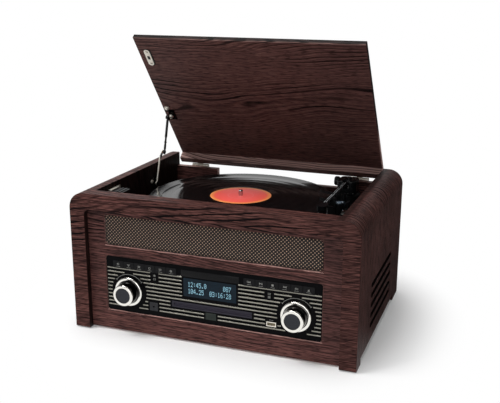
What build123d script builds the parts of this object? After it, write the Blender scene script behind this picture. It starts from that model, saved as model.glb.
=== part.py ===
from build123d import *
import math
import os

os.makedirs("parts", exist_ok=True)

# ---------------------------------------------------------------------------
# Frame: millimetres, +Z up, x to the right as the user faces the front.
# Depths run backwards from the front face of the side bands.
# ---------------------------------------------------------------------------
front_y = -165.0

# Cabinet
cabinet_width = 450.0
cabinet_depth = 322.0
cabinet_top = 220.0
pad_height = 1.5
corner_radius = 24.0
band_width = 25.0
band_top_height = 24.5
frame_corner_radius = 9.0
side_thickness = 15.0
rail_depth = 24.0
rim_width = 33.5
edge_break = 1.2
foot_notch_top = 11.5
front_foot_length = 27.0
rear_foot_length = 45.0
slot_count = 5
slot_pitch = 16.0
slot_first_z = 35.5
slot_height = 8.0
slot_front_depth = 85.0
slot_length = 156.0
front_pad_radius = 8.0
rear_pad_radius = 6.0

# Front baffle
baffle_recess = 10.0
baffle_thickness = 12.0
baffle_bottom = 2.5
grille_side_margin = 29.0
grille_bottom = 139.5
grille_top = 187.0
grille_corner = 3.0
grille_pocket = 7.0
fascia_side_margin = 28.5
fascia_bottom = 34.0
fascia_top = 122.5
fascia_corner = 2.5
fascia_ledge = 4.0
opening_edge_break = 0.7
inset_gap = 0.3

# Grille and loudspeakers
cloth_recess = 2.0
cloth_thickness = 1.0
grille_board_thickness = 4.0
speaker_inset = 66.0
speaker_z = 150.5
speaker_flange_length = 92.0
speaker_flange_height = 30.0
speaker_flange_thickness = 2.0
speaker_mouth_length = 74.0
speaker_mouth_height = 18.0
speaker_basket_depth = 16.0
speaker_magnet_radius = 14.0
speaker_magnet_depth = 9.0
speaker_cone_thickness = 0.8
speaker_cone_depth = 6.0
speaker_cap_radius = 6.0

# Fascia
fascia_recess = 1.0
fascia_thickness = 3.0
key_end_margin = 11.9
key_pitch = 17.8
keys_per_side = 6
key_z = 110.0
key_width = 17.2
key_height = 11.6
key_gap = 0.3
key_corner = 1.0
key_proud = 0.6
key_length = 5.6
key_travel = 0.8
stem_size = 4.0
window_half_width = 42.0
window_bottom = 74.0
window_top = 103.0
window_proud = 0.4
window_thickness = 2.4
lcd_margin = 3.0
cd_x = 2.5
cd_z = 59.0
cd_bezel_width = 128.0
cd_bezel_height = 9.6
cd_slot_width = 122.0
cd_slot_height = 4.6
cd_bezel_proud = 0.6
cd_bezel_depth = 9.6
ir_x = 1.5
ir_z = 47.0
ir_width = 17.0
ir_height = 11.0
ir_proud = 0.3
jack_inset = 41.0
jack_z = 49.0
jack_size = 13.6
jack_bore_radius = 1.8
jack_proud = 0.3
jack_body_depth = 12.0
usb_inset = 37.5
usb_z = 50.0
usb_width = 14.6
usb_height = 7.2
usb_mouth_width = 12.4
usb_mouth_height = 4.6
usb_proud = 0.5
usb_body_depth = 15.0
usb_mouth_depth = 13.0

# Knobs
knob_inset = 38.0
knob_z = 68.5
ring_outer_radius = 23.0
ring_inner_radius = 18.8
ring_height = 5.0
ring_round = 1.9
knob_radius = 18.2
knob_front_radius = 16.8
knob_body_height = 16.4
knob_lift = 1.0
cap_radius = 16.5
cap_bore_radius = 12.8
cap_height = 4.0
cap_round = 1.3
cap_dish_radius = 12.2
cap_dish_depth = 1.4
shaft_radius = 3.0
shaft_clearance = 0.06
fascia_shaft_clearance = 0.5
encoder_size = 14.0
encoder_depth = 5.0

# Circuit boards and works inside
board_thickness = 1.6
control_board_gap = 1.2
control_board_lift = 2.0
control_board_space = 1.0
switch_size = 6.0
base_bottom = 12.0
base_thickness = 10.0
base_gap = 0.3
cd_case_half_width = 74.0
cd_case_bottom = 44.0
cd_case_top = 74.0
cd_case_depth = 150.0
cd_case_start = 24.0
cd_slot_depth = 132.0
cd_rail_width = 10.0
main_board_inset = 80.0
main_board_rear_inset = 82.0
main_board_width = 110.0
main_board_length = 90.0
main_board_z = 32.0
standoff_radius = 3.5
heatsink_size = (30.0, 12.0, 28.0)
capacitor_radius = 8.0
capacitor_height = 26.0
psu_inset = 80.0
psu_rear_inset = 82.0
psu_core = (56.0, 46.0, 40.0)
psu_coil = (34.0, 60.0, 28.0)
psu_foot = (76.0, 46.0, 2.0)

# Rear panel and its sockets
rear_thickness = 11.0
rear_top = 196.5
rear_bottom = 12.0
rear_gap = 0.2
notch_left = -111.0
notch_right = 122.0
notch_bottom = 182.0
notch_corner = 4.0
inlet_inset = 60.0
inlet_z = 60.0
inlet_width = 30.0
inlet_height = 19.0
inlet_flange = 2.0
inlet_mouth_width = 20.0
inlet_mouth_height = 9.0
inlet_mouth_depth = 12.0
inlet_body_depth = 20.0
inlet_pin_radius = 1.2
inlet_pin_pitch = 8.6
rca_inset = 80.0
rca_z = 62.0
rca_pitch = 18.0
rca_plate = (40.0, 20.0)
rca_plate_thickness = 1.5
rca_radius = 4.15
rca_length = 8.0
rca_bore_radius = 1.6
rca_body_radius = 5.5
rca_body_depth = 14.0
screw_head_radius = 3.6
screw_head_height = 1.4
screw_shank_radius = 1.5
screw_shank_length = 9.0
screw_inset = 12.0

# Turntable
deck_top = 169.0
deck_thickness = 3.0
disc_x = -14.0
disc_depth = 176.5
record_radius = 150.8
record_top = 190.3
record_thickness = 1.8
record_label_radius = 50.0
record_bead = 0.4
platter_radius = 98.0
platter_plate = 3.0
platter_rim = 3.0
platter_rim_bottom = 173.0
drum_radius = 50.0
drum_wall = 2.5
drum_bottom = 174.0
hub_radius = 9.0
hub_bottom = 173.0
spindle_radius = 3.55
spindle_clearance = 0.06
spindle_rise = 9.0
spindle_flange_radius = 12.0
spindle_flange_height = 3.9
motor_angle = 215.0
motor_reach = 78.0
motor_radius = 17.0
motor_height = 22.0
motor_shaft_radius = 1.0
pulley_radius = 6.0
pulley_groove_radius = 5.0
pulley_bottom = 173.5
pulley_top = 183.5
motor_hole_radius = 8.0
belt_bottom = 175.5
belt_top = 180.5
belt_thickness = 0.8
belt_gap = 0.3

# Tonearm
arm_inset = 49.5
arm_rear_inset = 46.0
arm_z = 205.0
arm_base_radius = 21.0
arm_base_top = 186.0
arm_base_chamfer = 3.0
arm_plate_start = 1.0
arm_plate_end = 15.0
arm_plate_reach = 112.0
arm_plate_thickness = 2.0
arm_post_radius = 5.0
arm_post_top = 192.0
gimbal_bottom = 187.0
gimbal_top = 209.5
gimbal_half_width = 16.0
gimbal_front = 21.0
gimbal_back = 16.0
gimbal_round = 9.0
gimbal_slot_half = 5.0
gimbal_slot_bottom = 196.0
gimbal_post_clearance = 0.08
arm_tube_radius = 3.0
arm_tube_reach = 158.0
arm_tube_tail = 9.0
arm_heel_half_width = 4.4
arm_heel_half_height = 4.2
arm_heel_length = 26.0
arm_pin_radius = 1.5
arm_pin_clearance = 0.06
arm_pin_half_length = 12.0
shell_half_width = 7.0
shell_length = 24.0
shell_bottom = 201.0
shell_top = 208.0
shell_corner = 4.0
finger_width = 3.0
finger_reach = 8.0
finger_thickness = 1.4
cartridge_half_width = 4.5
cartridge_length = 14.0
cartridge_bottom = 194.0
stylus_reach = 168.0
stylus_radius = 0.6
stylus_tip = 190.7
rest_reach = 124.0
rest_length = 8.0
rest_width_left = 3.6
rest_width_right = 8.0
rest_top = 201.7
rest_lip_top = 207.0
rest_lip_start = 4.0
cue_radius = 60.0
cue_bar_width = 4.0
cue_bar_bottom = 195.0
cue_bar_top = 198.4
cue_bar_angle = 36.0
cue_bar_back_angle = 6.0
cue_post_radius = 4.0
cue_post_angle = 5.5
lever_offset = 11.0
lever_ahead = 72.5
lever_z = 184.0
lever_block = (14.0, 15.0, 20.0)
lever_cheek_gap = 0.4
lever_width = 6.0
lever_length = 22.0
lever_thickness = 3.4
lever_pin_radius = 1.5
lever_pin_clearance = 0.06
lever_rest_angle = 24.0
column_offset = 9.0
column_ahead = 104.0
column_radius = 5.5
column_top = 194.0
speed_inset = 28.5
speed_ahead = 126.0
speed_length = 36.0
speed_width = 10.0
speed_height = 14.0
speed_slot_width = 3.0
slider_length = 8.0
slider_width = 6.0
slider_height = 4.0
slider_gap = 0.3

# Lid
lid_side_gap = 3.0
lid_thickness = 7.5
lid_front = 26.5
apron_thickness = 12.0
apron_bottom = 198.5
lid_open_angle = 51.3
lid_edge_break = 0.6
hinge_back = 3.5
hinge_z = 197.5
hinge_inset = 38.5
hinge_width = 32.0
hinge_knuckle_radius = 3.0
hinge_leaf_thickness = 1.2
hinge_body_leaf_bottom = 172.0
hinge_lid_leaf_top = 211.0
hinge_leaf_gap = 0.4
hinge_pin_radius = 1.3
hinge_pin_clearance = 0.06
hinge_knuckle_gap = 0.3

# Lid stay: two links that meet at a knee
stay_upper_back = 119.5
stay_upper_up = 7.9
stay_lower_back = 110.7
stay_lower_z = 186.0
stay_upper_length = 61.2
stay_lower_length = 56.9
lower_link_inset = 5.5
link_spacing = 4.0
link_thickness = 2.6
lower_link_width = 3.2
upper_link_width = 5.4
link_eye_radius = 3.6
knee_cap_length = 18.0
stay_pin_radius = 1.5
stay_pin_clearance = 0.08
stay_pin_head_radius = 3.2
stay_pin_head = 1.6
knee_stub = 0.9
cab_plate_height = 22.0
cab_plate_width = 14.0
cab_plate_thickness = 1.6
lid_plate_length = 22.0
lid_plate_width = 12.0
lid_plate_thickness = 1.4
lid_lug_half = 4.0

# Catch
strike_inset = 18.0
strike_depth = 69.0
strike_length = 34.0
strike_width = 10.0
strike_thickness = 1.0
catch_length = 26.0
catch_width = 26.0
catch_height = 12.0
catch_gap = 0.4
catch_pole_width = 3.0
catch_pole_height = 1.2

# ---------------------------------------------------------------------------
# Derived sizes
# ---------------------------------------------------------------------------
half_width = cabinet_width / 2
band_inner = half_width - band_width
frame_top = cabinet_top - band_top_height
cavity_half = half_width - side_thickness
well_half_width = half_width - rim_width
lid_half_width = well_half_width - lid_side_gap
grille_half_width = band_inner - grille_side_margin
fascia_half_width = band_inner - fascia_side_margin
key_half_spread = fascia_half_width - key_end_margin - key_width / 2 - (keys_per_side - 1) * key_pitch
knob_x = fascia_half_width - knob_inset
usb_x = knob_x - usb_inset
jack_x = jack_inset - knob_x
control_board_bottom = cd_z + cd_bezel_height / 2 + control_board_lift
control_board_top = fascia_top - fascia_ledge - control_board_space
control_board_half_width = fascia_half_width - fascia_ledge - control_board_space
speaker_x = grille_half_width - speaker_inset
main_board_x = main_board_inset - cavity_half
main_board_depth = cabinet_depth - main_board_rear_inset
psu_x = cavity_half - psu_inset
psu_depth = cabinet_depth - psu_rear_inset
inlet_x = inlet_inset - cavity_half
rca_x = cavity_half - rca_inset
arm_x = well_half_width - arm_inset
arm_depth = cabinet_depth - arm_rear_inset
arm_plate_front = arm_depth - arm_plate_reach
arm_tube_end = arm_depth - arm_tube_reach
arm_tube_start = arm_depth - arm_tube_tail
stylus_depth = arm_depth - stylus_reach
rest_depth = arm_depth - rest_reach
lever_depth = arm_depth - lever_ahead
column_depth = arm_depth - column_ahead
speed_depth = arm_depth - speed_ahead
lever_x = arm_x + lever_offset
column_x = arm_x + column_offset
speed_x = well_half_width - speed_inset
hinge_x = lid_half_width - hinge_inset
lower_link_x = lower_link_inset - well_half_width
upper_link_x = lower_link_x + link_spacing
strike_x = strike_inset - well_half_width
baffle_back = baffle_recess + baffle_thickness
fascia_front = baffle_recess + fascia_recess
fascia_back = fascia_front + fascia_thickness
cloth_front = baffle_recess + cloth_recess
cloth_back = cloth_front + cloth_thickness
rear_inner = cabinet_depth - rear_thickness
control_front = baffle_back - board_thickness - control_board_gap
hinge_depth = cabinet_depth + hinge_back
stay_lower_depth = hinge_depth - stay_lower_back
record_bottom = record_top - record_thickness
lid_inner_z = cabinet_top - lid_thickness
lid_rise = math.radians(lid_open_angle)
base_top = base_bottom + base_thickness
control_back = control_front + board_thickness


def depth_plane(depth):
    """Vertical plane that faces the user, this far behind the front face."""
    return Plane.XZ.offset(-(front_y + depth))


def side_plane(across):
    """Vertical plane across the cabinet; its own axes are depth and height."""
    return Plane(origin=(across, front_y, 0), x_dir=(0, 1, 0), z_dir=(1, 0, 0))


def lid_plane(rise):
    """Plane in the lid's closed axes, measured up from the hinge axis."""
    tilted = Plane(
        origin=(0, front_y + hinge_depth, hinge_z),
        x_dir=(1, 0, 0),
        z_dir=(0, math.sin(lid_rise), math.cos(lid_rise)),
    )
    return tilted.offset(rise)


def lid_side_plane(across):
    """Plane across the lid; its own axes are the closed depth and height."""
    return Plane(
        origin=(across, front_y + hinge_depth, hinge_z),
        x_dir=(0, math.cos(lid_rise), -math.sin(lid_rise)),
        z_dir=(1, 0, 0),
    )


def block(across, deep, high, mode=Mode.ADD):
    """Box between two values on each axis; deep is measured from the front."""
    centre = (
        (across[0] + across[1]) / 2,
        front_y + (deep[0] + deep[1]) / 2,
        (high[0] + high[1]) / 2,
    )
    with Locations(centre):
        Box(across[1] - across[0], deep[1] - deep[0], high[1] - high[0], mode=mode)


def panel(across, high, deep, corner=0.0, mode=Mode.ADD):
    """Upright plate with rounded corners, between two depths."""
    with BuildSketch(depth_plane(deep[1])) as outline:
        with Locations(((across[0] + across[1]) / 2, (high[0] + high[1]) / 2)):
            if corner > 0:
                RectangleRounded(across[1] - across[0], high[1] - high[0], corner)
            else:
                Rectangle(across[1] - across[0], high[1] - high[0])
    extrude(outline.sketch, amount=deep[1] - deep[0], mode=mode)


def post(across, depth, radius, high, mode=Mode.ADD):
    """Upright round post between two heights."""
    with BuildSketch(Plane.XY.offset(high[0])) as outline:
        with Locations((across, front_y + depth)):
            Circle(radius)
    extrude(outline.sketch, amount=high[1] - high[0], mode=mode)


def dowel(across, height, radius, deep, mode=Mode.ADD):
    """Round bar that runs from front to back."""
    with BuildSketch(depth_plane(deep[1])) as outline:
        with Locations((across, height)):
            Circle(radius)
    extrude(outline.sketch, amount=deep[1] - deep[0], mode=mode)


def cross_pin(depth, height, radius, across, mode=Mode.ADD):
    """Round bar that runs from left to right."""
    with BuildSketch(side_plane(across[0])) as outline:
        with Locations((depth, height)):
            Circle(radius)
    extrude(outline.sketch, amount=across[1] - across[0], mode=mode)


def save(piece, label):
    """Name the piece and write its file."""
    piece.part.label = label
    export_step(piece.part, f"parts/{label}.step")


# ---------------------------------------------------------------------------
# Cabinet
# ---------------------------------------------------------------------------
with BuildPart() as cabinet_wrap:
    # One wrap of board: left side, front rail and right side
    with BuildSketch(depth_plane(cabinet_depth)):
        with Locations((0, (pad_height + cabinet_top) / 2)):
            Rectangle(cabinet_width, cabinet_top - pad_height)
    extrude(amount=cabinet_depth)
    fillet(cabinet_wrap.edges().filter_by(Axis.Y).group_by(Axis.Z)[-1], corner_radius)
    fillet(cabinet_wrap.faces().sort_by(Axis.Y)[0].edges(), edge_break)
    # Front opening, rounded at its two upper corners
    with BuildSketch(depth_plane(baffle_back)):
        with Locations((0, (frame_top - cabinet_top) / 2)):
            RectangleRounded(2 * band_inner, frame_top + cabinet_top, frame_corner_radius)
    extrude(amount=baffle_back, mode=Mode.SUBTRACT)
    # Room for the works, then the well above the deck
    block((-cavity_half, cavity_half), (baffle_back, cabinet_depth), (0, deck_top), Mode.SUBTRACT)
    block((-well_half_width, well_half_width), (rail_depth, cabinet_depth), (0, cabinet_top), Mode.SUBTRACT)
    block((-well_half_width, well_half_width), (baffle_back, rail_depth), (0, frame_top), Mode.SUBTRACT)
    # Notch under each side leaves a front and a rear foot
    block(
        (-half_width, half_width),
        (front_foot_length, cabinet_depth - rear_foot_length),
        (0, foot_notch_top),
        Mode.SUBTRACT,
    )
    # Vent slots through both sides
    for row in range(slot_count):
        slot_z = slot_first_z + row * slot_pitch
        with BuildSketch(side_plane(-half_width)):
            with Locations((slot_front_depth + slot_length / 2, slot_z)):
                SlotOverall(slot_length, slot_height)
        extrude(amount=cabinet_width, mode=Mode.SUBTRACT)
save(cabinet_wrap, "cabinet_wrap")

with BuildPart() as rubber_pads:
    for side in (-1, 1):
        post(side * (half_width - band_width / 2), front_foot_length / 2, front_pad_radius, (0, pad_height))
        post(
            side * (half_width - side_thickness / 2),
            cabinet_depth - rear_foot_length / 2,
            rear_pad_radius,
            (0, pad_height),
        )
save(rubber_pads, "rubber_pads")

with BuildPart() as front_baffle:
    with BuildSketch(depth_plane(baffle_back)):
        with Locations((0, (baffle_bottom + frame_top) / 2)):
            Rectangle(2 * band_inner, frame_top - baffle_bottom)
    extrude(amount=baffle_thickness)
    fillet(front_baffle.edges().filter_by(Axis.Y).group_by(Axis.Z)[-1], frame_corner_radius)
    panel(
        (-grille_half_width, grille_half_width),
        (grille_bottom, grille_top),
        (baffle_recess, baffle_recess + grille_pocket),
        grille_corner,
        Mode.SUBTRACT,
    )
    for side in (-1, 1):
        with BuildSketch(depth_plane(baffle_back)):
            with Locations((side * speaker_x, speaker_z)):
                SlotOverall(speaker_mouth_length, speaker_mouth_height)
        extrude(amount=baffle_thickness, mode=Mode.SUBTRACT)
    # The fascia drops into a shallow pocket and rests on a ledge
    panel(
        (-fascia_half_width, fascia_half_width),
        (fascia_bottom, fascia_top),
        (baffle_recess, fascia_back),
        fascia_corner,
        Mode.SUBTRACT,
    )
    panel(
        (-fascia_half_width + fascia_ledge, fascia_half_width - fascia_ledge),
        (fascia_bottom + fascia_ledge, fascia_top - fascia_ledge),
        (fascia_back, baffle_back),
        fascia_corner,
        Mode.SUBTRACT,
    )
    # The front edges of both openings are broken
    opening_edges = []
    for edge in front_baffle.edges():
        middle = edge.center()
        on_front = abs(middle.Y - front_y - baffle_recess) < 0.01
        in_grille = grille_bottom - 0.01 < middle.Z < grille_top + 0.01
        in_fascia = fascia_bottom - 0.01 < middle.Z < fascia_top + 0.01
        if on_front and abs(middle.X) < fascia_half_width + 0.01 and (in_grille or in_fascia):
            opening_edges.append(edge)
    chamfer(opening_edges, opening_edge_break)
save(front_baffle, "front_baffle")

with BuildPart() as base_board:
    block(
        (-cavity_half + base_gap, cavity_half - base_gap),
        (baffle_back, rear_inner - rear_gap),
        (base_bottom, base_top),
    )
save(base_board, "base_board")

with BuildPart() as rear_panel:
    block(
        (-cavity_half + rear_gap, cavity_half - rear_gap),
        (rear_inner, cabinet_depth),
        (rear_bottom, deck_top - rear_gap),
    )
    block(
        (-well_half_width + rear_gap, well_half_width - rear_gap),
        (rear_inner, cabinet_depth),
        (deck_top - rear_gap, rear_top),
    )
    # Wide notch lets a full-size record stand out at the back
    with BuildSketch(depth_plane(cabinet_depth)):
        with Locations(((notch_left + notch_right) / 2, notch_bottom + (rear_top - notch_bottom))):
            RectangleRounded(notch_right - notch_left, 2 * (rear_top - notch_bottom), notch_corner)
    extrude(amount=rear_thickness, mode=Mode.SUBTRACT)
    # Holes for the mains inlet and the line-out sockets
    panel(
        (inlet_x - inlet_width / 2 + inlet_flange, inlet_x + inlet_width / 2 - inlet_flange),
        (inlet_z - inlet_height / 2 + inlet_flange, inlet_z + inlet_height / 2 - inlet_flange),
        (rear_inner, cabinet_depth),
        0.0,
        Mode.SUBTRACT,
    )
    for side in (-1, 1):
        dowel(
            rca_x + side * rca_pitch / 2,
            rca_z,
            rca_body_radius + inset_gap,
            (rear_inner, cabinet_depth),
            Mode.SUBTRACT,
        )
    for across in (-cavity_half + screw_inset, 0, cavity_half - screw_inset):
        dowel(
            across,
            base_bottom + base_thickness / 2,
            screw_shank_radius,
            (rear_inner, cabinet_depth),
            Mode.SUBTRACT,
        )
save(rear_panel, "rear_panel")

with BuildPart() as rear_screws:
    for across in (-cavity_half + screw_inset, 0, cavity_half - screw_inset):
        dowel(
            across,
            base_bottom + base_thickness / 2,
            screw_head_radius,
            (cabinet_depth, cabinet_depth + screw_head_height),
        )
        dowel(
            across,
            base_bottom + base_thickness / 2,
            screw_shank_radius,
            (cabinet_depth - screw_shank_length, cabinet_depth),
        )
save(rear_screws, "rear_screws")

# ---------------------------------------------------------------------------
# Grille and loudspeakers
# ---------------------------------------------------------------------------
with BuildPart() as grille_cloth:
    panel(
        (-grille_half_width + inset_gap, grille_half_width - inset_gap),
        (grille_bottom + inset_gap, grille_top - inset_gap),
        (cloth_front, cloth_back),
        grille_corner - inset_gap,
    )
save(grille_cloth, "grille_cloth")

with BuildPart() as grille_board:
    panel(
        (-grille_half_width + inset_gap, grille_half_width - inset_gap),
        (grille_bottom + inset_gap, grille_top - inset_gap),
        (cloth_back, cloth_back + grille_board_thickness),
        grille_corner - inset_gap,
    )
    for side in (-1, 1):
        with BuildSketch(depth_plane(cloth_back + grille_board_thickness)):
            with Locations((side * speaker_x, speaker_z)):
                SlotOverall(speaker_mouth_length, speaker_mouth_height)
        extrude(amount=grille_board_thickness, mode=Mode.SUBTRACT)
save(grille_board, "grille_board")

with BuildPart() as speakers:
    for side in (-1, 1):
        with BuildSketch(depth_plane(baffle_back + speaker_flange_thickness)):
            with Locations((side * speaker_x, speaker_z)):
                SlotOverall(speaker_flange_length, speaker_flange_height)
                SlotOverall(speaker_mouth_length, speaker_mouth_height, mode=Mode.SUBTRACT)
        extrude(amount=speaker_flange_thickness)
        with BuildSketch(depth_plane(baffle_back + speaker_basket_depth)):
            with Locations((side * speaker_x, speaker_z)):
                SlotOverall(
                    speaker_mouth_length + 2 * speaker_flange_thickness,
                    speaker_mouth_height + 2 * speaker_flange_thickness,
                )
        extrude(amount=speaker_basket_depth - speaker_flange_thickness)
        with BuildSketch(depth_plane(baffle_back + speaker_basket_depth - speaker_flange_thickness)):
            with Locations((side * speaker_x, speaker_z)):
                SlotOverall(speaker_mouth_length, speaker_mouth_height)
        extrude(amount=speaker_basket_depth - speaker_flange_thickness, mode=Mode.SUBTRACT)
        dowel(
            side * speaker_x,
            speaker_z,
            speaker_magnet_radius,
            (
                baffle_back + speaker_basket_depth,
                baffle_back + speaker_basket_depth + speaker_magnet_depth,
            ),
        )
    # Paper cone with its dust cap across the mouth
    for side in (-1, 1):
        with BuildSketch(depth_plane(baffle_back + speaker_cone_depth + speaker_cone_thickness)):
            with Locations((side * speaker_x, speaker_z)):
                SlotOverall(speaker_mouth_length, speaker_mouth_height)
        extrude(amount=speaker_cone_thickness)
        dowel(
            side * speaker_x,
            speaker_z,
            speaker_cap_radius,
            (baffle_back + speaker_cone_depth - speaker_flange_thickness, baffle_back + speaker_cone_depth),
        )
save(speakers, "speakers")

# ---------------------------------------------------------------------------
# Fascia and controls
# ---------------------------------------------------------------------------
key_centres = []
for step in range(keys_per_side):
    key_centres.append(-key_half_spread - (keys_per_side - 1 - step) * key_pitch)
for step in range(keys_per_side):
    key_centres.append(key_half_spread + step * key_pitch)

with BuildPart() as fascia_plate:
    panel(
        (-fascia_half_width + inset_gap, fascia_half_width - inset_gap),
        (fascia_bottom + inset_gap, fascia_top - inset_gap),
        (fascia_front, fascia_back),
        fascia_corner - inset_gap,
    )
    # One long slot for each row of keys
    for row in (key_centres[:keys_per_side], key_centres[keys_per_side:]):
        panel(
            (row[0] - key_width / 2 - key_gap, row[-1] + key_width / 2 + key_gap),
            (key_z - key_height / 2 - key_gap, key_z + key_height / 2 + key_gap),
            (fascia_front, fascia_back),
            key_corner,
            Mode.SUBTRACT,
        )
    panel(
        (-window_half_width, window_half_width),
        (window_bottom, window_top),
        (fascia_front, fascia_back),
        key_corner,
        Mode.SUBTRACT,
    )
    panel(
        (cd_x - cd_bezel_width / 2, cd_x + cd_bezel_width / 2),
        (cd_z - cd_bezel_height / 2, cd_z + cd_bezel_height / 2),
        (fascia_front, fascia_back),
        0.0,
        Mode.SUBTRACT,
    )
    panel(
        (ir_x - ir_width / 2, ir_x + ir_width / 2),
        (ir_z - ir_height / 2, ir_z + ir_height / 2),
        (fascia_front, fascia_back),
        0.0,
        Mode.SUBTRACT,
    )
    panel(
        (jack_x - jack_size / 2, jack_x + jack_size / 2),
        (jack_z - jack_size / 2, jack_z + jack_size / 2),
        (fascia_front, fascia_back),
        0.0,
        Mode.SUBTRACT,
    )
    panel(
        (usb_x - usb_width / 2, usb_x + usb_width / 2),
        (usb_z - usb_height / 2, usb_z + usb_height / 2),
        (fascia_front, fascia_back),
        0.0,
        Mode.SUBTRACT,
    )
    for side in (-1, 1):
        dowel(
            side * knob_x,
            knob_z,
            shaft_radius + fascia_shaft_clearance,
            (fascia_front, fascia_back),
            Mode.SUBTRACT,
        )
save(fascia_plate, "fascia_plate")

for number, centre in enumerate(key_centres, start=1):
    with BuildPart() as key:
        panel(
            (centre - key_width / 2, centre + key_width / 2),
            (key_z - key_height / 2, key_z + key_height / 2),
            (fascia_front - key_proud, fascia_front - key_proud + key_length),
            key_corner - key_gap,
        )
    save(key, f"key_{number:02d}")

with BuildPart() as display_window:
    panel(
        (-window_half_width, window_half_width),
        (window_bottom, window_top),
        (fascia_front - window_proud, fascia_front - window_proud + window_thickness),
        key_corner,
    )
save(display_window, "display_window")

with BuildPart() as cd_bezel:
    panel(
        (cd_x - cd_bezel_width / 2, cd_x + cd_bezel_width / 2),
        (cd_z - cd_bezel_height / 2, cd_z + cd_bezel_height / 2),
        (fascia_front - cd_bezel_proud, fascia_front - cd_bezel_proud + cd_bezel_depth),
    )
    panel(
        (cd_x - cd_slot_width / 2, cd_x + cd_slot_width / 2),
        (cd_z - cd_slot_height / 2, cd_z + cd_slot_height / 2),
        (fascia_front - cd_bezel_proud, fascia_front - cd_bezel_proud + cd_bezel_depth),
        0.0,
        Mode.SUBTRACT,
    )
save(cd_bezel, "cd_bezel")

with BuildPart() as ir_window:
    panel(
        (ir_x - ir_width / 2, ir_x + ir_width / 2),
        (ir_z - ir_height / 2, ir_z + ir_height / 2),
        (fascia_front - ir_proud, fascia_back),
    )
save(ir_window, "ir_window")

with BuildPart() as headphone_jack:
    panel(
        (jack_x - jack_size / 2, jack_x + jack_size / 2),
        (jack_z - jack_size / 2, jack_z + jack_size / 2),
        (fascia_front - jack_proud, fascia_front + jack_body_depth),
    )
    dowel(
        jack_x,
        jack_z,
        jack_bore_radius,
        (fascia_front - jack_proud, fascia_front + jack_body_depth),
        Mode.SUBTRACT,
    )
save(headphone_jack, "headphone_jack")

with BuildPart() as usb_port:
    panel(
        (usb_x - usb_width / 2, usb_x + usb_width / 2),
        (usb_z - usb_height / 2, usb_z + usb_height / 2),
        (fascia_front - usb_proud, fascia_front + usb_body_depth),
    )
    panel(
        (usb_x - usb_mouth_width / 2, usb_x + usb_mouth_width / 2),
        (usb_z - usb_mouth_height / 2, usb_z + usb_mouth_height / 2),
        (fascia_front - usb_proud, fascia_front + usb_mouth_depth),
        0.0,
        Mode.SUBTRACT,
    )
save(usb_port, "usb_port")

with BuildPart() as knob_rings:
    for side in (-1, 1):
        dowel(side * knob_x, knob_z, ring_outer_radius, (fascia_front - ring_height, fascia_front))
    fillet(knob_rings.faces().group_by(Axis.Y)[0].edges(), ring_round)
    for side in (-1, 1):
        dowel(
            side * knob_x,
            knob_z,
            ring_inner_radius,
            (fascia_front - ring_height, fascia_front),
            Mode.SUBTRACT,
        )
save(knob_rings, "knob_rings")

knob_back = fascia_front - knob_lift
knob_front = knob_back - knob_body_height
for side, hand in ((-1, "left"), (1, "right")):
    with BuildPart() as knob_body:
        with BuildSketch(depth_plane(knob_back)):
            with Locations((side * knob_x, knob_z)):
                Circle(knob_radius)
        with BuildSketch(depth_plane(knob_front)):
            with Locations((side * knob_x, knob_z)):
                Circle(knob_front_radius)
        loft()
        dowel(side * knob_x, knob_z, shaft_radius, (knob_back, control_front - knob_lift))
    save(knob_body, f"knob_{hand}_body")
    with BuildPart() as knob_cap:
        dowel(side * knob_x, knob_z, cap_radius, (knob_front - cap_height, knob_front))
        fillet(knob_cap.faces().sort_by(Axis.Y)[0].edges(), cap_round)
        dowel(
            side * knob_x,
            knob_z,
            cap_dish_radius,
            (knob_front - cap_height, knob_front - cap_height + cap_dish_depth),
            Mode.SUBTRACT,
        )
    save(knob_cap, f"knob_{hand}_cap")

with BuildPart() as control_board:
    panel(
        (-control_board_half_width, control_board_half_width),
        (control_board_bottom, control_board_top),
        (control_front, control_back),
    )
    # Display module behind the window
    panel(
        (-window_half_width - lcd_margin, window_half_width + lcd_margin),
        (window_bottom - lcd_margin, window_top),
        (fascia_back, control_front),
    )
    # One push switch behind each key
    for centre in key_centres:
        panel(
            (centre - switch_size / 2, centre + switch_size / 2),
            (key_z - switch_size / 2, key_z + switch_size / 2),
            (fascia_front - key_proud + key_length + key_travel + key_gap, control_front),
        )
    # Rotary encoders with a running fit on the knob shafts
    for side in (-1, 1):
        panel(
            (side * knob_x - encoder_size / 2, side * knob_x + encoder_size / 2),
            (knob_z - encoder_size / 2, knob_z + encoder_size / 2),
            (fascia_back, control_front),
        )
        dowel(
            side * knob_x,
            knob_z,
            shaft_radius + shaft_clearance,
            (fascia_back, control_front),
            Mode.SUBTRACT,
        )
save(control_board, "control_board")

# ---------------------------------------------------------------------------
# Works on the base board
# ---------------------------------------------------------------------------
with BuildPart() as cd_mechanism:
    block(
        (cd_x - cd_case_half_width, cd_x + cd_case_half_width),
        (cd_case_start, cd_case_start + cd_case_depth),
        (cd_case_bottom, cd_case_top),
    )
    block(
        (cd_x - cd_slot_width / 2, cd_x + cd_slot_width / 2),
        (cd_case_start, cd_case_start + cd_slot_depth),
        (cd_z - cd_slot_height / 2, cd_z + cd_slot_height / 2),
        Mode.SUBTRACT,
    )
    for side in (-1, 1):
        rail_x = cd_x + side * (cd_case_half_width - cd_rail_width / 2)
        block(
            (rail_x - cd_rail_width / 2, rail_x + cd_rail_width / 2),
            (cd_case_start, cd_case_start + cd_case_depth),
            (base_top, cd_case_bottom),
        )
save(cd_mechanism, "cd_mechanism")

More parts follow.
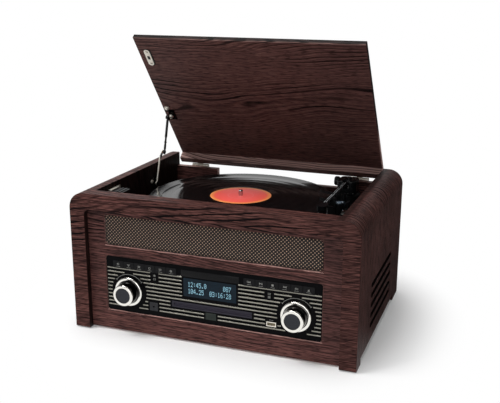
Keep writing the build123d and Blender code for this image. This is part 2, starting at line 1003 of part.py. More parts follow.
with BuildPart() as main_board:
    block(
        (main_board_x - main_board_width / 2, main_board_x + main_board_width / 2),
        (main_board_depth - main_board_length / 2, main_board_depth + main_board_length / 2),
        (main_board_z, main_board_z + board_thickness),
    )
    for across in (-1, 1):
        for deep in (-1, 1):
            post(
                main_board_x + across * (main_board_width / 2 - 2 * standoff_radius),
                main_board_depth + deep * (main_board_length / 2 - 2 * standoff_radius),
                standoff_radius,
                (base_top, main_board_z),
            )
    board_top = main_board_z + board_thickness
    block(
        (main_board_x - heatsink_size[0] / 2, main_board_x + heatsink_size[0] / 2),
        (main_board_depth - heatsink_size[1] / 2, main_board_depth + heatsink_size[1] / 2),
        (board_top, board_top + heatsink_size[2]),
    )
    for across in (-1, 1):
        post(
            main_board_x + across * main_board_width / 4,
            main_board_depth - main_board_length / 4,
            capacitor_radius,
            (board_top, board_top + capacitor_height),
        )
save(main_board, "main_board")

with BuildPart() as power_transformer:
    for size, lift in ((psu_foot, 0.0), (psu_core, psu_foot[2])):
        block(
            (psu_x - size[0] / 2, psu_x + size[0] / 2),
            (psu_depth - size[1] / 2, psu_depth + size[1] / 2),
            (base_top + lift, base_top + lift + size[2]),
        )
    coil_lift = base_top + psu_foot[2] + (psu_core[2] - psu_coil[2]) / 2
    block(
        (psu_x - psu_coil[0] / 2, psu_x + psu_coil[0] / 2),
        (psu_depth - psu_coil[1] / 2, psu_depth + psu_coil[1] / 2),
        (coil_lift, coil_lift + psu_coil[2]),
    )
save(power_transformer, "power_transformer")

with BuildPart() as mains_inlet:
    panel(
        (inlet_x - inlet_width / 2, inlet_x + inlet_width / 2),
        (inlet_z - inlet_height / 2, inlet_z + inlet_height / 2),
        (cabinet_depth, cabinet_depth + inlet_flange),
    )
    panel(
        (inlet_x - inlet_width / 2 + inlet_flange, inlet_x + inlet_width / 2 - inlet_flange),
        (inlet_z - inlet_height / 2 + inlet_flange, inlet_z + inlet_height / 2 - inlet_flange),
        (cabinet_depth - inlet_body_depth, cabinet_depth),
    )
    panel(
        (inlet_x - inlet_mouth_width / 2, inlet_x + inlet_mouth_width / 2),
        (inlet_z - inlet_mouth_height / 2, inlet_z + inlet_mouth_height / 2),
        (cabinet_depth + inlet_flange - inlet_mouth_depth, cabinet_depth + inlet_flange),
        0.0,
        Mode.SUBTRACT,
    )
    for side in (-1, 1):
        dowel(
            inlet_x + side * inlet_pin_pitch / 2,
            inlet_z,
            inlet_pin_radius,
            (cabinet_depth + inlet_flange - inlet_mouth_depth, cabinet_depth),
        )
save(mains_inlet, "mains_inlet")

with BuildPart() as line_out_sockets:
    panel(
        (rca_x - rca_plate[0] / 2, rca_x + rca_plate[0] / 2),
        (rca_z - rca_plate[1] / 2, rca_z + rca_plate[1] / 2),
        (cabinet_depth, cabinet_depth + rca_plate_thickness),
    )
    for side in (-1, 1):
        socket_x = rca_x + side * rca_pitch / 2
        dowel(socket_x, rca_z, rca_body_radius, (cabinet_depth - rca_body_depth, cabinet_depth))
        dowel(
            socket_x,
            rca_z,
            rca_radius,
            (cabinet_depth + rca_plate_thickness, cabinet_depth + rca_plate_thickness + rca_length),
        )
        dowel(
            socket_x,
            rca_z,
            rca_bore_radius,
            (cabinet_depth, cabinet_depth + rca_plate_thickness + rca_length),
            Mode.SUBTRACT,
        )
save(line_out_sockets, "line_out_sockets")

# ---------------------------------------------------------------------------
# Turntable
# ---------------------------------------------------------------------------
motor_turn = math.radians(motor_angle)
motor_x = disc_x + motor_reach * math.cos(motor_turn)
motor_depth = disc_depth + motor_reach * math.sin(motor_turn)
cue_post_turn = math.radians(cue_post_angle)

with BuildPart() as deck_plate:
    block(
        (-cavity_half + base_gap, cavity_half - base_gap),
        (baffle_back + base_gap, rear_inner - base_gap),
        (deck_top - deck_thickness, deck_top),
    )
    post(motor_x, motor_depth, motor_hole_radius, (deck_top - deck_thickness, deck_top), Mode.SUBTRACT)
    # Saddle that carries the parked tonearm
    block(
        (arm_x - rest_width_left, arm_x + rest_width_right),
        (rest_depth, rest_depth + rest_length),
        (deck_top, rest_top),
    )
    block(
        (arm_x + rest_lip_start, arm_x + rest_width_right),
        (rest_depth, rest_depth + rest_length),
        (rest_top, rest_lip_top),
    )
    # Guide of the speed slider
    block(
        (speed_x - speed_width / 2, speed_x + speed_width / 2),
        (speed_depth, speed_depth + speed_length),
        (deck_top, deck_top + speed_height),
    )
    block(
        (speed_x - speed_slot_width / 2 - slider_gap, speed_x + speed_slot_width / 2 + slider_gap),
        (speed_depth + speed_slot_width, speed_depth + speed_length - speed_slot_width),
        (deck_top, deck_top + speed_height),
        Mode.SUBTRACT,
    )
save(deck_plate, "deck_plate")

slider_start = speed_depth + speed_slot_width + slider_gap
with BuildPart() as speed_slider:
    block(
        (speed_x - slider_width / 2, speed_x + slider_width / 2),
        (slider_start, slider_start + slider_length),
        (deck_top + speed_height + slider_gap, deck_top + speed_height + slider_gap + slider_height),
    )
    block(
        (speed_x - speed_slot_width / 2, speed_x + speed_slot_width / 2),
        (slider_start + slider_gap, slider_start + slider_length - slider_gap),
        (deck_top + slider_gap, deck_top + speed_height + slider_gap),
    )
save(speed_slider, "speed_slider")

with BuildPart() as spindle:
    post(disc_x, disc_depth, spindle_flange_radius, (deck_top, deck_top + spindle_flange_height))
    post(disc_x, disc_depth, spindle_radius, (deck_top + spindle_flange_height, record_top + spindle_rise))
    fillet(spindle.faces().sort_by(Axis.Z)[-1].edges(), spindle_radius / 2)
save(spindle, "spindle")

with BuildPart() as platter:
    post(disc_x, disc_depth, platter_radius, (platter_rim_bottom, record_bottom))
    post(
        disc_x,
        disc_depth,
        platter_radius - platter_rim,
        (platter_rim_bottom, record_bottom - platter_plate),
        Mode.SUBTRACT,
    )
    post(disc_x, disc_depth, drum_radius, (drum_bottom, record_bottom - platter_plate))
    post(
        disc_x,
        disc_depth,
        drum_radius - drum_wall,
        (drum_bottom, record_bottom - platter_plate),
        Mode.SUBTRACT,
    )
    post(disc_x, disc_depth, hub_radius, (hub_bottom, record_bottom - platter_plate))
    post(disc_x, disc_depth, spindle_radius + spindle_clearance, (hub_bottom, record_bottom), Mode.SUBTRACT)
save(platter, "platter")

with BuildPart() as record:
    post(disc_x, disc_depth, record_radius, (record_bottom, record_top - record_bead))
    post(disc_x, disc_depth, record_label_radius, (record_top - record_bead, record_top))
    post(disc_x, disc_depth, spindle_radius + spindle_clearance, (record_bottom, record_top), Mode.SUBTRACT)
save(record, "record")

with BuildPart() as motor:
    post(
        motor_x,
        motor_depth,
        motor_radius,
        (deck_top - deck_thickness - motor_height, deck_top - deck_thickness),
    )
    post(motor_x, motor_depth, motor_shaft_radius, (deck_top - deck_thickness, pulley_top))
save(motor, "motor")

with BuildPart() as motor_pulley:
    post(motor_x, motor_depth, pulley_radius, (pulley_bottom, pulley_top))
    post(
        motor_x,
        motor_depth,
        pulley_radius,
        (belt_bottom - belt_gap, belt_top + belt_gap),
        Mode.SUBTRACT,
    )
    post(motor_x, motor_depth, pulley_groove_radius, (belt_bottom - belt_gap, belt_top + belt_gap))
    post(
        motor_x,
        motor_depth,
        motor_shaft_radius + spindle_clearance,
        (pulley_bottom, pulley_top),
        Mode.SUBTRACT,
    )
save(motor_pulley, "motor_pulley")

with BuildPart() as drive_belt:
    for grow, mode in ((belt_gap + belt_thickness, Mode.ADD), (belt_gap, Mode.SUBTRACT)):
        with BuildSketch(Plane.XY.offset(belt_bottom)):
            with Locations((disc_x, front_y + disc_depth)):
                Circle(drum_radius + grow)
            with Locations((motor_x, front_y + motor_depth)):
                Circle(pulley_groove_radius + grow)
            make_hull()
        extrude(amount=belt_top - belt_bottom, mode=mode)
save(drive_belt, "drive_belt")

# ---------------------------------------------------------------------------
# Tonearm
# ---------------------------------------------------------------------------
with BuildPart() as arm_base:
    post(arm_x, arm_depth, arm_base_radius, (deck_top, arm_base_top))
    chamfer(arm_base.faces().sort_by(Axis.Z)[-1].edges(), arm_base_chamfer)
    post(arm_x, arm_depth, arm_post_radius, (arm_base_top, arm_post_top))
    # Flat mounting plate joins the pivot base, the post and the column
    block(
        (arm_x + arm_plate_start, arm_x + arm_plate_end),
        (arm_plate_front, arm_depth),
        (deck_top, deck_top + arm_plate_thickness),
    )
    # Curved cue bar in front of the pivot, on its own post
    with BuildSketch(Plane.XY.offset(cue_bar_bottom)):
        with Locations((arm_x, front_y + arm_depth)):
            Circle(cue_radius + cue_bar_width / 2)
            Circle(cue_radius - cue_bar_width / 2, mode=Mode.SUBTRACT)
        with BuildLine():
            Polyline(
                (arm_x, front_y + arm_depth),
                (
                    arm_x - 2 * cue_radius * math.sin(math.radians(cue_bar_angle)),
                    front_y + arm_depth - 2 * cue_radius * math.cos(math.radians(cue_bar_angle)),
                ),
                (
                    arm_x + 2 * cue_radius * math.sin(math.radians(cue_bar_back_angle)),
                    front_y + arm_depth - 2 * cue_radius * math.cos(math.radians(cue_bar_back_angle)),
                ),
                close=True,
            )
        make_face(mode=Mode.INTERSECT)
    extrude(amount=cue_bar_top - cue_bar_bottom)
    post(
        arm_x + cue_radius * math.sin(cue_post_turn),
        arm_depth - cue_radius * math.cos(cue_post_turn),
        cue_post_radius,
        (deck_top, cue_bar_top),
    )
    # Round column of the lift damper, then the block that carries the cue lever
    post(column_x, column_depth, column_radius, (deck_top, column_top))
    block(
        (lever_x - lever_block[0] / 2, lever_x + lever_block[0] / 2),
        (lever_depth - lever_block[1] / 2, lever_depth + lever_block[1] / 2),
        (deck_top, deck_top + lever_block[2]),
    )
    block(
        (
            lever_x - lever_width / 2 - lever_cheek_gap,
            lever_x + lever_width / 2 + lever_cheek_gap,
        ),
        (lever_depth - lever_block[1] / 2, lever_depth + lever_block[1] / 2),
        (lever_z - lever_width, deck_top + lever_block[2]),
        Mode.SUBTRACT,
    )
    cross_pin(
        lever_depth,
        lever_z,
        lever_pin_radius,
        (lever_x - lever_block[0] / 2, lever_x + lever_block[0] / 2),
    )
save(arm_base, "arm_base")

with BuildPart() as cue_lever:
    lever_turn = Plane(
        origin=(lever_x - lever_width / 2, front_y + lever_depth, lever_z),
        x_dir=(0, -math.cos(math.radians(lever_rest_angle)), math.sin(math.radians(lever_rest_angle))),
        z_dir=(1, 0, 0),
    )
    with BuildSketch(lever_turn):
        Circle(lever_width / 2)
        with Locations((lever_length / 2, 0)):
            SlotOverall(lever_length + lever_thickness, lever_thickness)
        Circle(lever_pin_radius + lever_pin_clearance, mode=Mode.SUBTRACT)
    extrude(amount=lever_width)
save(cue_lever, "cue_lever")

with BuildPart() as arm_gimbal:
    with BuildSketch(Plane.XY.offset(gimbal_bottom)):
        with Locations((arm_x, front_y + arm_depth + (gimbal_back - gimbal_front) / 2)):
            RectangleRounded(2 * gimbal_half_width, gimbal_front + gimbal_back, gimbal_round)
    extrude(amount=gimbal_top - gimbal_bottom)
    fillet(arm_gimbal.faces().sort_by(Axis.Z)[-1].edges(), arm_base_chamfer)
    block(
        (arm_x - gimbal_slot_half, arm_x + gimbal_slot_half),
        (arm_depth - gimbal_front, arm_depth + gimbal_back),
        (gimbal_slot_bottom, gimbal_top),
        Mode.SUBTRACT,
    )
    post(
        arm_x,
        arm_depth,
        arm_post_radius + gimbal_post_clearance,
        (gimbal_bottom, arm_post_top + gimbal_post_clearance),
        Mode.SUBTRACT,
    )
    cross_pin(
        arm_depth,
        arm_z,
        arm_pin_radius,
        (arm_x - arm_pin_half_length, arm_x + arm_pin_half_length),
    )
save(arm_gimbal, "arm_gimbal")

with BuildPart() as arm_tube:
    dowel(arm_x, arm_z, arm_tube_radius, (arm_tube_end, arm_tube_start))
    block(
        (arm_x - arm_heel_half_width, arm_x + arm_heel_half_width),
        (arm_depth - arm_heel_length / 2, arm_depth + arm_heel_length / 2),
        (arm_z - arm_heel_half_height, arm_z + arm_heel_half_height),
    )
    cross_pin(
        arm_depth,
        arm_z,
        arm_pin_radius + arm_pin_clearance,
        (arm_x - arm_heel_half_width, arm_x + arm_heel_half_width),
        Mode.SUBTRACT,
    )
    # Headshell moulded on the end of the tube, with its finger lift
    with BuildSketch(Plane.XY.offset(shell_bottom)):
        with Locations((arm_x, front_y + arm_tube_end - shell_length / 2 + shell_corner)):
            RectangleRounded(2 * shell_half_width, shell_length, shell_corner)
    extrude(amount=shell_top - shell_bottom)
    block(
        (arm_x + shell_half_width - finger_thickness, arm_x + shell_half_width + finger_reach),
        (
            arm_tube_end - shell_length / 2 + shell_corner - finger_width / 2,
            arm_tube_end - shell_length / 2 + shell_corner + finger_width / 2,
        ),
        (arm_z, arm_z + finger_thickness),
    )
save(arm_tube, "arm_tube")

with BuildPart() as cartridge:
    block(
        (arm_x - cartridge_half_width, arm_x + cartridge_half_width),
        (stylus_depth - cartridge_length / 3, stylus_depth + 2 * cartridge_length / 3),
        (cartridge_bottom, shell_bottom),
    )
    post(arm_x, stylus_depth, stylus_radius, (stylus_tip, cartridge_bottom))
save(cartridge, "cartridge")

# ---------------------------------------------------------------------------
# Lid: drawn in its closed axes on planes that are tilted open
# ---------------------------------------------------------------------------
lid_panel_rise = lid_inner_z - hinge_z
lid_back = cabinet_depth - hinge_depth
lid_nose = lid_front - hinge_depth

with BuildPart() as lid:
    with BuildSketch(lid_plane(lid_panel_rise)):
        with Locations((0, (lid_back + lid_nose) / 2)):
            Rectangle(2 * lid_half_width, lid_back - lid_nose)
    extrude(amount=lid_thickness)
    # Apron folded down along the back edge
    with BuildSketch(lid_plane(apron_bottom - hinge_z)):
        with Locations((0, lid_back - apron_thickness / 2)):
            Rectangle(2 * lid_half_width, apron_thickness)
    extrude(amount=lid_inner_z - apron_bottom)
    chamfer(lid.edges(), lid_edge_break)
save(lid, "lid")

knuckle_length = (hinge_width - 2 * hinge_knuckle_gap) / 3
knuckle_reach = hinge_knuckle_radius + hinge_leaf_gap
with BuildPart() as hinge_fixed_leaves:
    for side in (-1, 1):
        left = side * hinge_x - hinge_width / 2
        block(
            (left, left + hinge_width),
            (cabinet_depth, cabinet_depth + hinge_leaf_thickness),
            (hinge_body_leaf_bottom, hinge_z - hinge_knuckle_radius - hinge_leaf_gap),
        )
        for start in (left, left + hinge_width - knuckle_length):
            cross_pin(hinge_depth, hinge_z, hinge_knuckle_radius, (start, start + knuckle_length))
            block(
                (start, start + knuckle_length),
                (cabinet_depth, cabinet_depth + hinge_leaf_thickness),
                (hinge_z - hinge_knuckle_radius - hinge_leaf_gap, hinge_z),
            )
        cross_pin(hinge_depth, hinge_z, hinge_pin_radius, (left, left + hinge_width))
save(hinge_fixed_leaves, "hinge_fixed_leaves")

with BuildPart() as hinge_lid_leaves:
    for side in (-1, 1):
        left = side * hinge_x - hinge_width / 2
        middle = left + knuckle_length + hinge_knuckle_gap
        with BuildSketch(lid_side_plane(left)):
            with Locations(
                (
                    lid_back + hinge_leaf_thickness / 2,
                    (hinge_knuckle_radius + hinge_leaf_gap + hinge_lid_leaf_top - hinge_z) / 2,
                )
            ):
                Rectangle(
                    hinge_leaf_thickness,
                    hinge_lid_leaf_top - hinge_z - hinge_knuckle_radius - hinge_leaf_gap,
                )
        extrude(amount=hinge_width)
        with BuildSketch(lid_side_plane(middle)):
            with Locations((lid_back + hinge_leaf_thickness / 2, knuckle_reach / 2)):
                Rectangle(hinge_leaf_thickness, knuckle_reach)
            Circle(hinge_knuckle_radius)
            Circle(hinge_pin_radius + hinge_pin_clearance, mode=Mode.SUBTRACT)
        extrude(amount=knuckle_length)
save(hinge_lid_leaves, "hinge_lid_leaves")

# ---------------------------------------------------------------------------
# Lid stay
# ---------------------------------------------------------------------------
upper_pivot_depth = hinge_depth - stay_upper_back * math.cos(lid_rise) + stay_upper_up * math.sin(lid_rise)
upper_pivot_z = hinge_z + stay_upper_back * math.sin(lid_rise) + stay_upper_up * math.cos(lid_rise)
span_depth = upper_pivot_depth - stay_lower_depth
span_z = upper_pivot_z - stay_lower_z
span = math.hypot(span_depth, span_z)
along = (stay_lower_length**2 - stay_upper_length**2 + span**2) / (2 * span)
aside = math.sqrt(stay_lower_length**2 - along**2)
knee_depth = stay_lower_depth + (along * span_depth + aside * span_z) / span
knee_z = stay_lower_z + (along * span_z - aside * span_depth) / span


def link(start, finish, width, across, eyes, mode=Mode.ADD):
    """Flat link between two points given as depth and height."""
    length = math.hypot(finish[0] - start[0], finish[1] - start[1])
    run = Plane(
        origin=(across - link_thickness / 2, front_y + start[0], start[1]),
        x_dir=(0, (finish[0] - start[0]) / length, (finish[1] - start[1]) / length),
        z_dir=(1, 0, 0),
    )
    with BuildSketch(run) as outline:
        with Locations((length / 2, 0)):
            Rectangle(length, width)
        for place, radius in eyes:
            with Locations((place * length, 0)):
                Circle(radius)
    extrude(outline.sketch, amount=link_thickness, mode=mode)


with BuildPart() as stay_bracket:
    block(
        (-well_half_width, -well_half_width + cab_plate_thickness),
        (stay_lower_depth - cab_plate_width / 2, stay_lower_depth + cab_plate_width / 2),
        (stay_lower_z - cab_plate_height / 2, stay_lower_z + cab_plate_height / 2),
    )
    cross_pin(
        stay_lower_depth,
        stay_lower_z,
        stay_pin_radius,
        (-well_half_width, lower_link_x + link_thickness / 2 + stay_pin_clearance),
    )
    cross_pin(
        stay_lower_depth,
        stay_lower_z,
        stay_pin_head_radius,
        (
            lower_link_x + link_thickness / 2 + stay_pin_clearance,
            lower_link_x + link_thickness / 2 + stay_pin_clearance + stay_pin_head,
        ),
    )
save(stay_bracket, "stay_bracket")

with BuildPart() as stay_lower_link:
    link(
        (stay_lower_depth, stay_lower_z),
        (knee_depth, knee_z),
        lower_link_width,
        lower_link_x,
        ((0, link_eye_radius), (1, link_eye_radius)),
    )
    cross_pin(
        stay_lower_depth,
        stay_lower_z,
        stay_pin_radius + stay_pin_clearance,
        (lower_link_x - link_thickness / 2, lower_link_x + link_thickness / 2),
        Mode.SUBTRACT,
    )
    cross_pin(
        knee_depth,
        knee_z,
        stay_pin_radius,
        (lower_link_x + link_thickness / 2, lower_link_x + link_thickness / 2 + knee_stub),
    )
save(stay_lower_link, "stay_lower_link")

with BuildPart() as stay_upper_link:
    link(
        (knee_depth, knee_z),
        (upper_pivot_depth, upper_pivot_z),
        upper_link_width,
        upper_link_x,
        ((0, link_eye_radius), (1, link_eye_radius)),
    )
    cross_pin(
        upper_pivot_depth,
        upper_pivot_z,
        stay_pin_radius + stay_pin_clearance,
        (upper_link_x - link_thickness / 2, upper_link_x + link_thickness / 2),
        Mode.SUBTRACT,
    )
save(stay_upper_link, "stay_upper_link")

with BuildPart() as stay_lid_bracket:
    lug_x = upper_link_x + link_thickness / 2 + stay_pin_clearance
    plate_bottom = lid_panel_rise - lid_plate_thickness
    with BuildSketch(lid_plane(plate_bottom)):
        with Locations((lug_x + lid_plate_width / 2, -stay_upper_back)):
            Rectangle(lid_plate_width, lid_plate_length)
    extrude(amount=lid_plate_thickness)
    with BuildSketch(lid_side_plane(lug_x)):
        with Locations((-stay_upper_back, (stay_upper_up + plate_bottom) / 2)):
            Rectangle(2 * lid_lug_half, plate_bottom - stay_upper_up)
        with Locations((-stay_upper_back, stay_upper_up)):
            Circle(lid_lug_half)
    extrude(amount=cab_plate_thickness)
    with BuildSketch(lid_side_plane(upper_link_x - link_thickness / 2 - stay_pin_clearance)):
        with Locations((-stay_upper_back, stay_upper_up)):
            Circle(stay_pin_radius)
    extrude(amount=link_thickness + 2 * stay_pin_clearance)
    head_x = upper_link_x - link_thickness / 2 - stay_pin_clearance - stay_pin_head
    with BuildSketch(lid_side_plane(head_x)):
        with Locations((-stay_upper_back, stay_upper_up)):
            Circle(stay_pin_head_radius)
    extrude(amount=stay_pin_head)
save(stay_lid_bracket, "stay_lid_bracket")

# ---------------------------------------------------------------------------
# Catch
# ---------------------------------------------------------------------------
with BuildPart() as strike_plate:
    with BuildSketch(lid_plane(lid_panel_rise - strike_thickness)):
        with Locations((strike_x, strike_depth - hinge_depth)):
            SlotOverall(strike_length, strike_width, rotation=90)
    extrude(amount=strike_thickness)
save(strike_plate, "strike_plate")

with BuildPart() as magnet_catch:
    catch_top = lid_inner_z - strike_thickness - catch_gap
    block(
        (-well_half_width, -well_half_width + catch_width),
        (strike_depth - catch_length / 2, strike_depth + catch_length / 2),
        (catch_top - catch_height, catch_top - catch_pole_height),
    )
    for side in (-1, 1):
        pole_x = strike_x + side * catch_pole_width
        block(
            (pole_x - catch_pole_width / 2, pole_x + catch_pole_width / 2),
            (strike_depth - catch_length / 2, strike_depth + catch_length / 2),
            (catch_top - catch_pole_height, catch_top),
        )
save(magnet_catch, "magnet_catch")
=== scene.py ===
"""Looks, staging and viewpoint of a stereo music centre with a record deck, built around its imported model."""
import logging
import math
from collections.abc import Iterable, Sequence
from dataclasses import dataclass
from enum import Enum

import bmesh
import bpy
from mathutils import Matrix, Vector


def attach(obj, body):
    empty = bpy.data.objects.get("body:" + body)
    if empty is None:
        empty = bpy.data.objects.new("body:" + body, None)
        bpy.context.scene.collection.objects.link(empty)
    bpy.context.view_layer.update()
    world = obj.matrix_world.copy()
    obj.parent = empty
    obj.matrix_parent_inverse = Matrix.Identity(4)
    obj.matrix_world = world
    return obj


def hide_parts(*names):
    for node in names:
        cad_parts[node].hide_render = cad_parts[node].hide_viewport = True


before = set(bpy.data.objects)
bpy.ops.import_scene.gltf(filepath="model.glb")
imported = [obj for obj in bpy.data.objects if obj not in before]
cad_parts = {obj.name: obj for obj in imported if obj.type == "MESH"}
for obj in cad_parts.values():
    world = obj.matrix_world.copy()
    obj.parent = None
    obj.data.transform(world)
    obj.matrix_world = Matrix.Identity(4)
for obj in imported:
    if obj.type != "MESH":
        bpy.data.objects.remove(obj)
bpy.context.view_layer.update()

log = logging.getLogger("music_centre")

MM = 0.001
FRONT_Y = -165.0  # the front face of the cabinet's bands; depths run backwards from it, in millimetres
LID_OPEN = math.radians(51.3)
HINGE = Vector((0.0, 160.5, 197.5))  # a point on the lid's axis, in millimetres
SPINDLE = (-14.0, 11.5, 190.0)  # the record's centre, in millimetres
PRINT = 0.12  # how far print and scale lines stand proud, in millimetres
UPRIGHT = Matrix.Rotation(math.radians(90), 4, "X")  # carries the local z axis onto -y, towards the front
BRIGHTEST = (-0.75, 0.66, 0.25)  # towards the back left, where gloss finds the studio white
Point = tuple[float, float, float]
Tree = bpy.types.NodeTree
Node = bpy.types.Node
Shape = bmesh.types.BMesh


# ---------------------------------------------------------------------------
# Small tools
# ---------------------------------------------------------------------------
def linear(code: str) -> tuple[float, float, float, float]:
    """Turn an sRGB hex colour into the linear colour that a socket takes.

    Args:
        code: six hex digits, with or without a leading hash.

    Returns:
        Red, green, blue and an alpha of 1.
    """
    code = code.lstrip("#")
    channels = [int(code[i : i + 2], 16) / 255 for i in (0, 2, 4)]
    red, green, blue = (c / 12.92 if c <= 0.04045 else ((c + 0.055) / 1.055) ** 2.4 for c in channels)
    return red, green, blue, 1.0


def add(
    tree: Tree, kind: str, inputs: dict | None = None,
    stops: Sequence[tuple[float, str]] = (), **settings: object
) -> Node:
    """Add one node with its settings and links.

    Args:
        tree: node tree that gets the node.
        kind: node type without its ShaderNode prefix.
        inputs: values, nodes or (node, output) pairs, by input name or number; a node alone gives output 0.
        stops: positions and hex colours, for a colour ramp.
        settings: the node's own properties.

    Returns:
        The new node.
    """
    node = tree.nodes.new("ShaderNode" + kind)
    for name, value in settings.items():
        setattr(node, name, value)
    for name, value in (inputs or {}).items():
        if isinstance(value, Node):
            value = (value, 0)
        if isinstance(value, tuple) and isinstance(value[0], Node):
            tree.links.new(value[0].outputs[value[1]], node.inputs[name])
        else:
            node.inputs[name].default_value = value
    if stops:
        ramp = node.color_ramp
        while len(ramp.elements) < len(stops):
            ramp.elements.new(0.5)
        for element, (position, code) in zip(ramp.elements, stops):
            element.position = position
            element.color = linear(code)
    return node


def centred_on(tree: Tree, centre: Point) -> Node:
    """Give object coordinates about a centre in millimetres."""
    place = add(tree, "TexCoord")
    return add(tree, "Mapping", {"Vector": (place, "Object"), "Location": tuple(-c * MM for c in centre)})


def wave_scale(spacing_mm: float) -> float:
    """Give the Wave texture's scale that sets its rings or bands this far apart, on coordinates in metres."""
    return 2 * math.pi / (20 * spacing_mm * MM)


# ---------------------------------------------------------------------------
# Finishes
# ---------------------------------------------------------------------------
@dataclass(frozen=True)
class Finish:
    """One finish, shared by every piece that is made of it."""

    name: str

    def material(self) -> bpy.types.Material:
        """Give the finish's material, made on first use.

        Returns:
            The material with its node tree.
        """
        made = bpy.data.materials.get(self.name)
        if made is None:
            made = bpy.data.materials.new(self.name)
            made.use_nodes = True
            tree = made.node_tree
            tree.nodes.clear()
            add(tree, "OutputMaterial", {"Surface": self.shader(tree)})
        return made

    def shader(self, tree: Tree) -> Node:
        """Build the finish's nodes.

        Args:
            tree: the material's node tree.

        Returns:
            The node that feeds the material's surface.
        """
        raise NotImplementedError

    def dress(self, *nodes: str) -> None:
        """Put the finish on whole CAD nodes.

        Args:
            nodes: names of CAD nodes.
        """
        for name in nodes:
            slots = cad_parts[name].data.materials
            for index in range(max(len(slots), 1)):
                if index < len(slots):
                    slots[index] = self.material()
                else:
                    slots.append(self.material())
            log.info("dressed %s in %s", name, self.name)


class Grain(Enum):
    """Which way the veneer was laid on a piece."""

    WRAP = "round the cabinet's section, and level on its front and back edges"
    FRONT = "level across an upright panel"
    LID = "level across the lid, which stands open"


